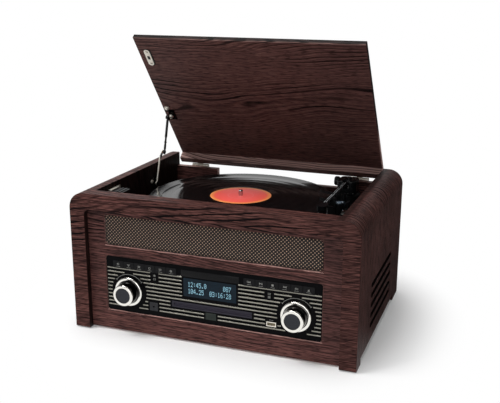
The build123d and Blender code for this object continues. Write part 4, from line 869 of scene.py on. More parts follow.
def bar(
    shape: Shape, low: Sequence[float], high: Sequence[float], edge: float = 0.0,
    segments: int = 1, turn: Matrix | None = None
) -> list[bmesh.types.BMVert]:
    """Add a bar with rounded edges between two corners.

    Args:
        shape: mesh that gets the bar.
        low: lowest corner.
        high: highest corner.
        edge: radius of its edges, or 0.
        segments: steps in each rounded edge.
        turn: a matrix for the finished bar, or None.

    Returns:
        The bar's vertices.
    """
    size = [h - l for l, h in zip(low, high)]
    middle = [(h + l) / 2 for l, h in zip(low, high)]
    place = Matrix.Translation(middle) @ Matrix.Diagonal((*size, 1.0))
    made = bmesh.ops.create_cube(shape, size=1.0, matrix=place)["verts"]
    if edge:
        edges = list({e for v in made for e in v.link_edges})
        made = bmesh.ops.bevel(
            shape, geom=edges, offset=edge, segments=segments, profile=0.5, affect="EDGES", material=-1,
            clamp_overlap=True
        )["verts"]
        made = spread(made)
    if turn is not None:
        bmesh.ops.transform(shape, matrix=turn, verts=made)
    return made


def spread(seeds: Iterable[bmesh.types.BMVert]) -> list[bmesh.types.BMVert]:
    """Find every vertex that hangs together with the seeds.

    Args:
        seeds: vertices to start from.

    Returns:
        The seeds and all that is joined to them by edges.
    """
    found, waiting = set(), list(seeds)
    while waiting:
        vert = waiting.pop()
        if vert not in found:
            found.add(vert)
            waiting.extend(e.other_vert(vert) for e in vert.link_edges)
    return list(found)


def turned(
    shape: Shape, profile: Sequence[tuple[float, float]], place: Matrix, steps: int = 64
) -> list[bmesh.types.BMVert]:
    """Spin a profile about the local z axis, as on a lathe.

    Args:
        shape: mesh that gets the turned part.
        profile: radius and height pairs, from one end of the axis to the other.
        place: matrix that carries the part to its place.
        steps: sides of the full turn.

    Returns:
        The turned part's vertices.
    """
    verts = [shape.verts.new((radius, 0.0, height)) for radius, height in profile]
    edges = [shape.edges.new(pair) for pair in zip(verts, verts[1:])]
    bmesh.ops.spin(
        shape, geom=verts + edges, cent=(0, 0, 0), axis=(0, 0, 1), angle=2 * math.pi, steps=steps,
        use_merge=True
    )
    made = spread(v for v in verts if v.is_valid)
    bmesh.ops.remove_doubles(shape, verts=made, dist=0.0005)
    made = spread(v for v in made if v.is_valid)
    faces = list({f for v in made for f in v.link_faces})
    bmesh.ops.recalc_face_normals(shape, faces=faces)
    bmesh.ops.transform(shape, matrix=place, verts=made)
    return made


def aim(start: Sequence[float], finish: Sequence[float]) -> Matrix:
    """Give the matrix that carries the local z axis onto the line from start towards finish."""
    way = Vector(finish) - Vector(start)
    return Matrix.Translation(Vector(start)) @ way.to_track_quat("Z", "Y").to_matrix().to_4x4()


def rod(
    shape: Shape, start: Sequence[float], finish: Sequence[float], radius: float,
    edge: float = 0.3, steps: int = 20
) -> list[bmesh.types.BMVert]:
    """Add a round rod with broken edges between two points.

    Args:
        shape: mesh that gets the rod.
        start: centre of one end.
        finish: centre of the other end.
        radius: the rod's radius.
        edge: how far its ends are broken.
        steps: sides of the rod.

    Returns:
        The rod's vertices.
    """
    length = (Vector(finish) - Vector(start)).length
    profile = (
        (0, 0), (radius - edge, 0), (radius, edge), (radius, length - edge), (radius - edge, length),
        (0, length)
    )
    return turned(shape, profile, aim(start, finish), steps)


def depth(value: float) -> float:
    """Turn a depth behind the front face into the model's y."""
    return FRONT_Y + value


# ---------------------------------------------------------------------------
# Sub-assemblies
# ---------------------------------------------------------------------------
@dataclass
class Cabinet:
    """Veneered cabinet, its panels and its feet."""

    openings: tuple[tuple[float, float, float], ...] = ((171.0, 139.5, 187.0), (171.5, 34.0, 122.5))
    baffle_front: float = 10.0
    lipping: float = 0.9
    corner_radii: tuple[float, float] = (5.5, 3.0)

    def build_lippings(self) -> None:
        """Lay the thin lippings round the two openings of the baffle, with a pale sill under each as a painted
        highlight.
        """
        shape, sill = bmesh.new(), bmesh.new()
        out, back = depth(self.baffle_front - 0.25), depth(self.baffle_front + 0.9)
        for half, low, high in self.openings:
            wide = half + self.lipping
            for base in (low - self.lipping, high):
                target = sill if base < low else shape
                bar(target, (-wide, out, base), (wide, back, base + self.lipping), edge=0.3, segments=2)
            for side in (-1, 1):
                inner, outer = sorted((side * half, side * wide))
                bar(shape, (inner, out, low), (outer, back, high), edge=0.3, segments=2)
        settle(shape, "opening_lippings", LIPPING, "cabinet")
        settle(sill, "opening_sill_highlight", SILL_HIGHLIGHT, "cabinet")

    def build_corners(self) -> None:
        """Fill the corners of both openings to a round."""
        shape = bmesh.new()
        front, back = depth(self.baffle_front + 0.1), depth(self.baffle_front + 1.7)
        for (half, low, high), radius in zip(self.openings, self.corner_radii):
            for x, toward in ((-half, 1), (half, -1)):
                for z, up in ((low, 1), (high, -1)):
                    middle = (x + toward * radius, z + up * radius)
                    turns = [math.pi / 2 * step / 6 for step in range(7)]
                    points = [(x - toward * 0.3, z - up * 0.3), (middle[0], z - up * 0.3)]
                    for angle in turns:
                        across, rise = radius * math.sin(angle), radius * math.cos(angle)
                        points.append((middle[0] - toward * across, middle[1] - up * rise))
                    points.append((x - toward * 0.3, middle[1]))
                    outline = [shape.verts.new((px, front, pz)) for px, pz in points]
                    face = bmesh.ops.contextual_create(shape, geom=outline)["faces"]
                    pushed = bmesh.ops.extrude_face_region(shape, geom=face, use_keep_orig=True)["geom"]
                    moved = [part for part in pushed if isinstance(part, bmesh.types.BMVert)]
                    bmesh.ops.translate(shape, vec=(0, back - front, 0), verts=moved)
        bmesh.ops.recalc_face_normals(shape, faces=shape.faces)
        settle(shape, "opening_corners", FRONT_VENEER, "cabinet")

    def build(self) -> None:
        """Line and round the openings."""
        self.build_lippings()
        self.build_corners()

    def dress(self) -> None:
        """Put veneer, board and rubber on the cabinet's parts."""
        WRAP_VENEER.dress("cabinet_wrap")
        FRONT_VENEER.dress("front_baffle")
        BACK_VENEER.dress("rear_panel")
        BARE_BOARD.dress("base_board")
        RUBBER.dress("rubber_pads")
        NICKEL.dress("rear_screws")


@dataclass
class Grille:
    """Cloth-covered loudspeaker grille."""

    half_width: float = 170.7
    bottom: float = 139.8
    top: float = 186.7
    front: float = 12.0
    thickness: float = 1.0
    crown: float = 0.25
    columns: int = 60
    rows: int = 9

    def build(self) -> None:
        """Stretch the cloth over its board."""
        shape = bmesh.new()
        bmesh.ops.create_grid(
            shape, x_segments=self.columns, y_segments=self.rows, size=0.5,
            matrix=UPRIGHT
        )
        bmesh.ops.scale(shape, vec=(2 * self.half_width, 1.0, self.top - self.bottom), verts=shape.verts)
        bmesh.ops.translate(
            shape, vec=(0, depth(self.front + self.thickness), (self.top + self.bottom) / 2),
            verts=shape.verts
        )
        for vert in shape.verts:
            across = 1 - abs(vert.co.x / self.half_width) ** 8
            up = 1 - abs(2 * (vert.co.z - self.bottom) / (self.top - self.bottom) - 1) ** 6
            vert.co.y -= self.crown * max(across, 0.0) * max(up, 0.0)
        cloth = settle(shape, "grille_weave", CLOTH, "cabinet", ["grille_cloth"])
        leaf = cloth.modifiers.new("leaf", "SOLIDIFY")
        leaf.thickness = 0.6 * MM
        leaf.offset = 1.0

    def dress(self) -> None:
        """Put finishes on the board and the loudspeakers."""
        BLACK_BOARD.dress("grille_board")
        CONE_PAPER.dress("speakers")


class Icon(Enum):
    """Symbols in the keys' order from the left, each with its strokes in millimetres about its centre."""

    POWER = (("ring", 1.7, 0.5), ("dab", -0.3, 0.3, 0.4, 2.4))
    SOURCE = (("dab", -2.2, 2.2, 0.7, 1.3), ("dab", -1.2, 1.2, -0.6, 0.0), ("dab", -0.4, 0.4, -1.9, -1.3))
    MENU = tuple(("dab", -2.0, 2.0, rise, rise + 0.6) for rise in (-1.5, -0.3, 0.9))
    REPEAT = (("ring", 1.8, 0.5), ("wedge", 1.7, 1, 0.9))
    EQUALISER = tuple(
        stroke
        for x, rise in ((-1.9, 0.4), (-0.3, -0.8), (1.3, 0.8))
        for stroke in (("dab", x, x + 0.5, -1.8, 1.8), ("dab", x - 0.4, x + 0.9, rise, rise + 0.6))
    )
    RECORD = (("ring", 1.8, 0.5), ("ring", 0.8, 0.7))
    BACK = (("wedge", -1.0, -1, 1.6), ("wedge", 1.2, -1, 1.6), ("dab", -3.0, -2.5, -1.4, 1.4))
    PLAY = (("wedge", -1.4, 1, 1.8), ("dab", 0.8, 1.3, -1.5, 1.5), ("dab", 1.9, 2.4, -1.5, 1.5))
    STOP = (("dab", -1.5, 1.5, -1.5, 1.5),)
    FORWARD = (("wedge", -1.2, 1, 1.6), ("wedge", 1.0, 1, 1.6), ("dab", 2.5, 3.0, -1.4, 1.4))
    FOLDER = (
        ("dab", -2.2, 2.2, -1.5, -1.0),
        ("dab", -2.2, -1.7, -1.5, 1.2),
        ("dab", 1.7, 2.2, -1.5, 0.8),
        ("dab", -2.2, 2.2, 0.5, 1.0),
    )
    EJECT = (("wedge", 0.0, 0, 1.7), ("dab", -1.8, 1.8, -2.2, -1.6))


GLYPHS = {
    "0": ("01110", "10001", "10011", "10101", "11001", "10001", "01110"),
    "1": ("00100", "01100", "00100", "00100", "00100", "00100", "01110"),
    "2": ("01110", "10001", "00001", "00010", "00100", "01000", "11111"),
    "3": ("11110", "00001", "00001", "01110", "00001", "00001", "11110"),
    "4": ("00010", "00110", "01010", "10010", "11111", "00010", "00010"),
    "5": ("11111", "10000", "11110", "00001", "00001", "10001", "01110"),
    "6": ("00110", "01000", "10000", "11110", "10001", "10001", "01110"),
    "7": ("11111", "00001", "00010", "00100", "01000", "01000", "01000"),
    "8": ("01110", "10001", "10001", "01110", "10001", "10001", "01110"),
    "9": ("01110", "10001", "10001", "01111", "00001", "00010", "01100"),
    ":": ("00000", "00100", "00100", "00000", "00100", "00100", "00000"),
    ".": ("00000", "00000", "00000", "00000", "00000", "01100", "01100"),
    " ": ("00000", "00000", "00000", "00000", "00000", "00000", "00000"),
}


@dataclass
class Fascia:
    """Black front plate with its stripes, keys, display and openings."""

    front: float = 11.0
    half_width: float = 170.0
    stripe_top: float = 103.5
    stripe_pitch: float = 6.02
    stripe_height: float = 1.8
    stripe_count: int = 11
    stripe_proud: float = 0.25
    knob_x: float = 133.5
    knob_z: float = 68.5
    knob_clear: float = 29.5
    patches: tuple[tuple[float, float, float, float], ...] = (
        (-45.0, 45.0, 72.0, 105.5),
        (-64.5, 69.5, 52.5, 65.5),
        (-9.5, 12.5, 39.8, 53.5),
        (-102.0, -83.0, 40.5, 57.5),
        (86.5, 105.5, 45.0, 57.0),
        (-97.0, -83.0, 90.0, 105.0),
        (85.0, 100.0, 86.5, 101.5),
    )
    key_centres: tuple[float, ...] = (151.0, 133.2, 115.4, 97.6, 79.8, 62.0)
    key_z: float = 110.0
    key_front: float = 10.4
    window_front: float = 10.6
    dot: tuple[float, float] = (0.60, 0.92)
    dot_pitch: tuple[float, float] = (0.72, 1.12)
    rows: tuple[tuple[str, float], ...] = (("12:45.0      087", 97.6), ("104.25  03:16:28", 87.0))
    text_left: float = -34.5
    scale_radius: float = 27.0
    scale_steps: int = 24
    scale_reach: float = 52.0
    line_half: float = 0.3
    tick_half: tuple[float, float] = (0.4, 1.4)
    lips: tuple[tuple[float, float], ...] = ((56.75, 58.95), (59.05, 61.25))
    lip_ends: tuple[float, float] = (-58.0, 63.0)
    plate: tuple[float, float, float] = (46.0, 105.2, 115.4)
    patch_marks: tuple[tuple[Icon, float, float], ...] = (
        (Icon.RECORD, -90.0, 99.5),
        (Icon.FOLDER, -90.0, 94.0),
        (Icon.EQUALISER, 92.5, 96.2),
        (Icon.MENU, 92.5, 91.4),
    )

    def gaps(self, height: float) -> list[tuple[float, float]]:
        """Find what interrupts a stripe.

        Args:
            height: the stripe's z.

        Returns:
            Start and end x of each gap.
        """
        half = self.stripe_height / 2
        found = [
            (left, right) for left, right, low, high in self.patches if low - half < height < high + half
        ]
        rise = max(abs(height - self.knob_z) - half * 0.5, 0.0)
        if rise < self.knob_clear:
            reach = math.sqrt(self.knob_clear**2 - rise**2)
            found += [(side * self.knob_x - reach, side * self.knob_x + reach) for side in (-1, 1)]
        return found

    def runs(self, height: float) -> list[tuple[float, float]]:
        """Cut a stripe at its gaps.

        Args:
            height: the stripe's z.

        Returns:
            Start and end x of each run that is left.
        """
        left = [(-self.half_width, self.half_width)]
        for start, finish in self.gaps(height):
            cut = []
            for low, high in left:
                cut += [(low, min(high, start)), (max(low, finish), high)]
            left = [(low, high) for low, high in cut if high - low > 3.0]
        return left

    def build_stripes(self) -> None:
        """Lay the level stripes."""
        shape = bmesh.new()
        for step in range(self.stripe_count):
            height = self.stripe_top - step * self.stripe_pitch
            for start, finish in self.runs(height):
                bar(
                    shape, (start, depth(self.front - self.stripe_proud), height - self.stripe_height / 2),
                    (finish, depth(self.front), height + self.stripe_height / 2), edge=0.1
                )
        settle(shape, "fascia_stripes", STRIPE_ALUMINIUM, "cabinet")

    def build_scales(self) -> None:
        """Lay the thin arc over each knob, with a tick at each end."""
        shape = bmesh.new()
        radius, steps, reach = self.scale_radius, self.scale_steps, math.radians(self.scale_reach)
        for side in (-1, 1):
            for step in range(steps):
                angle = -reach + (step + 0.5) * 2 * reach / steps
                self.scale_line(shape, side, angle, reach / steps * radius * 1.05, self.line_half)
            for angle in (-reach, reach):
                self.scale_line(shape, side, angle, *self.tick_half)
        settle(shape, "knob_scale_lines", PRINT_GREY, "cabinet")

    def scale_line(
        self, shape: Shape, side: int, angle: float, half: float, rise: float
    ) -> None:
        """Add one short line at the scale's radius, turned about a knob.

        Args:
            shape: mesh that gets the line.
            side: -1 for the left knob and 1 for the right one.
            angle: how far round the knob it stands, in radians.
            half: half its length across.
            rise: half its length away from the knob.
        """
        turn = Matrix.Translation((side * self.knob_x, 0, self.knob_z)) @ Matrix.Rotation(angle, 4, "Y")
        low = (-half, depth(self.front - PRINT), self.scale_radius - rise)
        bar(shape, low, (half, depth(self.front), self.scale_radius + rise), turn=turn)

    def mark(self, shape: Shape, icon: Icon, x: float, z: float, face: float) -> None:
        """Add one key's symbol.

        Args:
            shape: mesh that gets the symbol.
            icon: which symbol.
            x: its centre.
            z: its centre's height.
            face: y of the face that it is printed on.
        """

        def dab(x0: float, x1: float, z0: float, z1: float) -> None:
            """Print one small bar, measured from the symbol's centre."""
            bar(shape, (x + x0, face - PRINT, z + z0), (x + x1, face, z + z1))

        def wedge(at: float, way: float, size: float) -> None:
            """Print one small triangle.

            Args:
                at: its middle's x, from the symbol's centre.
                way: 1 or -1 to point along x or against it, 0 to point up.
                size: its radius.
            """
            upright = UPRIGHT
            spin = Matrix.Rotation(math.radians(-90 * way if way else 90), 4, "Z")
            place = Matrix.Translation((x + at, face - PRINT / 2, z)) @ upright @ spin
            bmesh.ops.create_cone(
                shape, cap_ends=True, segments=3, radius1=size, radius2=size, depth=PRINT, matrix=place
            )

        def ring(size: float, width: float) -> None:
            """Print one small ring about the symbol's centre.

            Args:
                size: its outer radius.
                width: how wide its line is.
            """
            section = (
                (size - width, 0.0), (size - width, PRINT), (size, PRINT), (size, 0.0), (size - width, 0.0)
            )
            place = Matrix.Translation((x, face, z)) @ UPRIGHT
            turned(shape, section, place, 16)

        tools = {"dab": dab, "wedge": wedge, "ring": ring}
        for tool, *sizes in icon.value:
            tools[tool](*sizes)

    def build_icons(self) -> None:
        """Print each key's symbol, so that it goes in with the key."""
        centres = [*(-c for c in self.key_centres), *reversed(self.key_centres)]
        for number, (centre, icon) in enumerate(zip(centres, Icon), 1):
            shape = bmesh.new()
            self.mark(shape, icon, centre, self.key_z + 0.4, depth(self.key_front))
            bar(
                shape, (centre - 3.2, depth(self.key_front - 0.1), self.key_z - 3.6),
                (centre + 3.2, depth(self.key_front), self.key_z - 3.2)
            )
            settle(shape, f"key_icon_{number:02d}", PRINT_GREY, f"body_key_{number:02d}")

    def build_patch_marks(self) -> None:
        """Print the small symbols beside the display and over the sockets."""
        shape = bmesh.new()
        face = depth(self.front)
        for icon, x, z in self.patch_marks:
            self.mark(shape, icon, x, z, face)
        bar(shape, (93.0, face - PRINT, 56.0), (99.0, face, 56.5))
        settle(shape, "fascia_marks", PRINT_GREY, "cabinet")

    def build_digits(self) -> None:
        """Light the display's dots."""
        shape = bmesh.new()
        face = depth(self.window_front)
        advance = self.dot_pitch[0] * 6
        for text, top in self.rows:
            for place, sign in enumerate(text):
                for line, bits in enumerate(GLYPHS[sign]):
                    for column, bit in enumerate(bits):
                        if bit == "1":
                            x = self.text_left + place * advance + column * self.dot_pitch[0]
                            z = top - line * self.dot_pitch[1]
                            bar(shape, (x, face - 0.05, z - self.dot[1]), (x + self.dot[0], face, z))
        settle(shape, "display_digits", GLOW, "cabinet")

    def build_slot_lips(self) -> None:
        """Fit the two felt lips that keep dust out of the disc slot."""
        shape = bmesh.new()
        left, right = self.lip_ends
        for low, high in self.lips:
            bar(
                shape, (left, depth(self.front), low), (right, depth(self.front + 1.4), high), edge=0.3,
                segments=2
            )
        settle(shape, "disc_slot_lips", DUST_FELT, "cabinet")

    def build_bare_plate(self) -> None:
        """Set the plain glossy plate between the two rows of keys."""
        shape = bmesh.new()
        half, low, high = self.plate
        bar(
            shape, (-half, depth(self.front - 0.3), low), (half, depth(self.front), high), edge=0.25,
            segments=2
        )
        settle(shape, "fascia_bare_plate", GLOSS_KEY, "cabinet")

    def build(self) -> None:
        """Build everything that stands on the plate."""
        self.build_stripes()
        self.build_scales()
        self.build_icons()
        self.build_patch_marks()
        self.build_digits()
        self.build_slot_lips()
        self.build_bare_plate()

    def dress(self) -> None:
        """Put finishes on the plate, the keys and the openings."""
        GLOSS_FASCIA.dress("fascia_plate")
        GLOSS_KEY.dress(*(f"key_{number:02d}" for number in range(1, 13)))
        DISPLAY_TINT.dress("display_window")
        BEZEL_MAUVE.dress("cd_bezel")
        IR_TINT.dress("ir_window")
        JACK_GREY.dress("headphone_jack")
        SATIN_NICKEL.dress("usb_port")
        CIRCUIT.dress("control_board")
        CHROME.dress("knob_rings")


@dataclass
class ControlKnob:
    """One turning knob: dark barrel, chromed rim and spun face."""

    side: str
    x: float
    z: float = 68.5
    face_back: float = -9.0
    face_thickness: float = 0.35
    face_radius: float = 12.1

    def build(self) -> None:
        """Turn the spun face in the knob's dish."""
        shape = bmesh.new()
        place = Matrix.Translation((self.x, depth(self.face_back), self.z)) @ UPRIGHT
        radius, rise = self.face_radius, self.face_thickness
        profile = (
            (0.0, 0.0), (radius, 0.0), (radius, rise * 0.6), (radius - 0.5, rise),
            (radius * 0.6, rise * 1.5), (0.0, rise * 1.8)
        )
        turned(shape, profile, place, 96)
        face = SpunAluminium(f"spun_aluminium_face_{self.side}", (self.x, depth(self.face_back), self.z))
        settle(shape, f"knob_{self.side}_face", face, f"knob_{self.side}")

    def dress(self) -> None:
        """Put finishes on the knob's CAD parts."""
        BLACK_CHROME.dress(f"knob_{self.side}_body")
        CHROME.dress(f"knob_{self.side}_cap")


@dataclass
class RecordDeck:
    """Deck plate, platter, record and drive."""

    radius: float = 150.8
    top: float = 190.3
    bottom: float = 188.5
    label_radius: float = 50.0
    hole_radius: float = 3.6
    tracks: tuple[float, ...] = (64.0, 80.0, 97.0, 113.0, 130.0)

    def build(self) -> None:
        """Press the record with its bead, its tracks and its label."""
        groove = self.top - 0.35
        upper = [
            (self.radius - 0.5, self.top - 0.15), (self.radius - 2.6, self.top - 0.1),
            (self.radius - 4.0, groove)
        ]
        for edge in reversed(self.tracks):
            upper += [
                (edge + 1.4, groove), (edge + 0.9, groove - 0.03), (edge - 0.9, groove - 0.03),
                (edge - 1.4, groove)
            ]
        upper += [(self.label_radius + 2.5, groove), (self.label_radius + 0.6, self.top - 0.12)]
        rim = (self.radius, (self.top + self.bottom) / 2)
        lower = [(r, self.top + self.bottom - z) for r, z in upper]
        hole = [(self.hole_radius, self.top - 0.12), (self.hole_radius, self.bottom + 0.12)]
        profile = [*reversed(upper), rim, *lower, hole[1], hole[0], upper[-1]]
        shape = bmesh.new()
        place = Matrix.Translation((*SPINDLE[:2], 0))
        turned(shape, profile, place, 128)
        settle(shape, "record_disc", VINYL, "turntable", ["record"], crease=25)
        shape = bmesh.new()
        sheet = (
            (self.hole_radius, self.top - 0.12), (self.hole_radius, self.top),
            (self.label_radius - 0.3, self.top), (self.label_radius, self.top - 0.12),
            (self.hole_radius, self.top - 0.12)
        )
        turned(shape, sheet, place, 96)
        settle(shape, "record_label", LABEL, "turntable")

    def dress(self) -> None:
        """Put finishes on the deck and its drive."""
        DECK_BLACK.dress("deck_plate")
        CAST_PLATTER.dress("platter")
        STEEL.dress("spindle")
        GALVANISED.dress("motor")
        BRASS.dress("motor_pulley")
        RUBBER.dress("drive_belt")


@dataclass
class Tonearm:
    """Arm, its bearing, lift and speed slider."""

    arm_x: float = 142.0
    pivot_depth: float = 276.0
    tube_height: float = 205.0
    wires: tuple[tuple[float, float], ...] = ((-2.7, 2.0), (0.9, 3.1))
    wire_ends: tuple[float, float] = (124.0, 252.0)
    clip_depths: tuple[float, ...] = (134.0, 176.0, 218.0)
    dial_aside: float = 16.5
    dial_drop: float = 1.6
    dial_ribs: int = 20
    cap_axis: tuple[float, float] = (209.9, 215.0)
    lift_at: tuple[float, float] = (151.0, 172.0)
    lift_axis: tuple[float, float] = (193.6, 200.0)
    pad_turns: tuple[float, ...] = (28, 20, 12, 4, -2)

    def build_wires(self) -> None:
        """Lay two signal wires along the arm, with the clips that hold them; their pale grey is a painted
        highlight for the tube's glossy lines.
        """
        shape = bmesh.new()
        near, far = (depth(end) for end in self.wire_ends)
        for aside, lift in self.wires:
            x, z = self.arm_x + aside, self.tube_height + lift
            rod(shape, (x, near, z), (x, far, z), 0.42, 0.12, 10)
        settle(shape, "arm_highlight_wires", ARM_WIRE_HIGHLIGHT, "tonearm")
        shape = bmesh.new()
        for at in self.clip_depths:
            start, finish = ((self.arm_x, depth(end), self.tube_height) for end in (at, at + 3.0))
            rod(shape, start, finish, 3.9)
        settle(shape, "arm_clips", SATIN_BLACK, "tonearm")

    def build_dials(self) -> None:
        """Fit the ribbed weight dial beside the bearing, and the cap on top of it."""
        shape = bmesh.new()
        left = self.arm_x - self.dial_aside
        height = self.tube_height - self.dial_drop
        start, finish = ((left + x, depth(self.pivot_depth), height) for x in (1.0, -9.0))
        axle = aim(start, finish)
        turned(
            shape, [(0, 0), (6.8, 0), (7.4, 0.6), (7.4, 7.0), (6.4, 8.0), (4.0, 8.0), (3.4, 7.2), (0, 7.2)],
            axle, 40
        )
        for index in range(self.dial_ribs):
            spoke = axle @ Matrix.Rotation(math.tau * index / self.dial_ribs, 4, "Z")
            bar(shape, (7.1, -0.35, 1.2), (7.8, 0.35, 6.4), edge=0.2, turn=spoke)
        settle(shape, "weight_dial", HOUSING_GREY, "arm_carriage")
        shape = bmesh.new()
        foot, tip = ((self.arm_x, depth(self.pivot_depth + 1.5), z) for z in self.cap_axis)
        top = aim(foot, tip)
        turned(shape, [(0, 0), (5.6, 0), (5.6, 0.8), (4.9, 1.5), (2.6, 1.5), (2.0, 1.1), (0, 1.1)], top, 40)
        settle(shape, "bearing_cap", ARM_TUBE, "arm_carriage")

    def build_lift_parts(self) -> None:
        """Cap the lift's column and pad the cue bar."""
        shape = bmesh.new()
        x, behind = self.lift_at
        foot, tip = ((x, depth(behind), z) for z in self.lift_axis)
        column = aim(foot, tip)
        turned(
            shape, [(0, 0), (4.9, 0), (5.1, 0.5), (5.1, 2.0), (4.4, 2.9), (2.4, 3.3), (0, 3.4)], column, 32
        )
        settle(shape, "lift_cap", BUTTON_BLUE, "cabinet")
        shape = bmesh.new()
        pivot = Vector((self.arm_x, depth(self.pivot_depth), 0))
        for turn in self.pad_turns:
            about = Matrix.Translation(pivot) @ Matrix.Rotation(math.radians(turn), 4, "Z")
            bar(shape, (-1.4, -62.3, 198.2), (1.4, -57.7, 199.1), edge=0.4, segments=2, turn=about)
        settle(shape, "cue_bar_pads", RUBBER, "cabinet")

    def build(self) -> None:
        """Build the arm's small parts."""
        self.build_wires()
        self.build_dials()
        self.build_lift_parts()

    def dress(self) -> None:
        """Put finishes on the arm's parts."""
        SATIN_BLACK.dress("arm_base")
        HOUSING_GREY.dress("arm_gimbal")
        ARM_TUBE.dress("arm_tube")
        SATIN_BLACK.dress("cartridge")
        BUTTON_BLUE.dress("cue_lever")
        CHROME.dress("speed_slider")


@dataclass
class Lid:
    """Lid with its hinges, strike plate and catch."""

    plate_x: float = -173.5
    plate_y: float = -96.0
    plate_face: float = 211.5
    screw_step: float = 12.6
    wall: float = -191.4

    def build_plate_parts(self) -> None:
        """Fit the strike plate's two screws, a rubber pad under it whose black rim, set off to the right, is a
        painted shadow of the plate, and the dark slot between the screws.
        """
        swing = Matrix.Rotation(-LID_OPEN, 4, "X")
        open_lid = Matrix.Translation(HINGE) @ swing @ Matrix.Translation(-HINGE)
        heads, slots = bmesh.new(), bmesh.new()
        middle = self.plate_y
        for step in (-self.screw_step, self.screw_step):
            base = open_lid @ Vector((self.plate_x, middle + step, self.plate_face + 0.1))
            tip = open_lid @ Vector((self.plate_x, middle + step, self.plate_face - 2.0))
            turned(heads, [(0, 0), (2.6, 0), (2.3, 0.2), (1.2, 0.34), (0, 0.38)], aim(base, tip), 20)
        bar(
            slots, (self.plate_x - 2.2, middle - 3.6, self.plate_face - 0.15),
            (self.plate_x + 2.2, middle + 3.6, self.plate_face + 0.4), edge=0.12, segments=2, turn=open_lid
        )
        settle(heads, "plate_screws", NICKEL, "lid")
        pad = bmesh.new()
        # the pad stands out past the plate's right side, where its black rim is a painted shadow of the plate
        x, y, low, high = self.plate_x + 2.4, middle - 0.5, self.plate_face + 0.35, self.plate_face + 0.95
        bar(pad, (x - 5.2, y - 12.0, low), (x + 5.2, y + 12.0, high), edge=0.1, turn=open_lid)
        for step in (-12.0, 12.0):
            top, base = (open_lid @ Vector((x, y + step, z)) for z in (high, low))
            rod(pad, top, base, 5.2, 0.1, 32)
        settle(pad, "plate_shadow_pad", RUBBER, "lid")
        settle(slots, "plate_slot", SATIN_BLACK, "lid")

    def build_catch_ear(self) -> None:
        """Add an assumed bright ear that turns over the side wall by the catch, with its domed screw."""
        shape = bmesh.new()
        wall = self.wall
        bar(shape, (wall, depth(60.0), 210.0), (wall + 5.5, depth(86.0), 211.6), edge=0.5, segments=2)
        bar(shape, (wall, depth(83.0), 196.0), (wall + 1.2, depth(96.0), 211.6), edge=0.4, segments=2)
        face = (wall + 1.1, depth(90.0), 206.5)
        inward = aim(face, (0.0, face[1], face[2]))
        turned(shape, [(0, 0), (3.2, 0), (2.9, 0.9), (1.8, 1.5), (0, 1.7)], inward, 24)
        settle(shape, "catch_ear", SATIN_NICKEL, "cabinet")

    def build(self) -> None:
        """Build the strike plate's parts and the catch's ear."""
        self.build_plate_parts()
        self.build_catch_ear()

    def dress(self) -> None:
        """Put finishes on the lid's parts."""
        LID_VENEER.dress("lid")
        SATIN_NICKEL.dress("hinge_lid_leaves", "hinge_fixed_leaves")
        SATIN_NICKEL.dress("strike_plate")
        SATIN_BLACK.dress("magnet_catch")


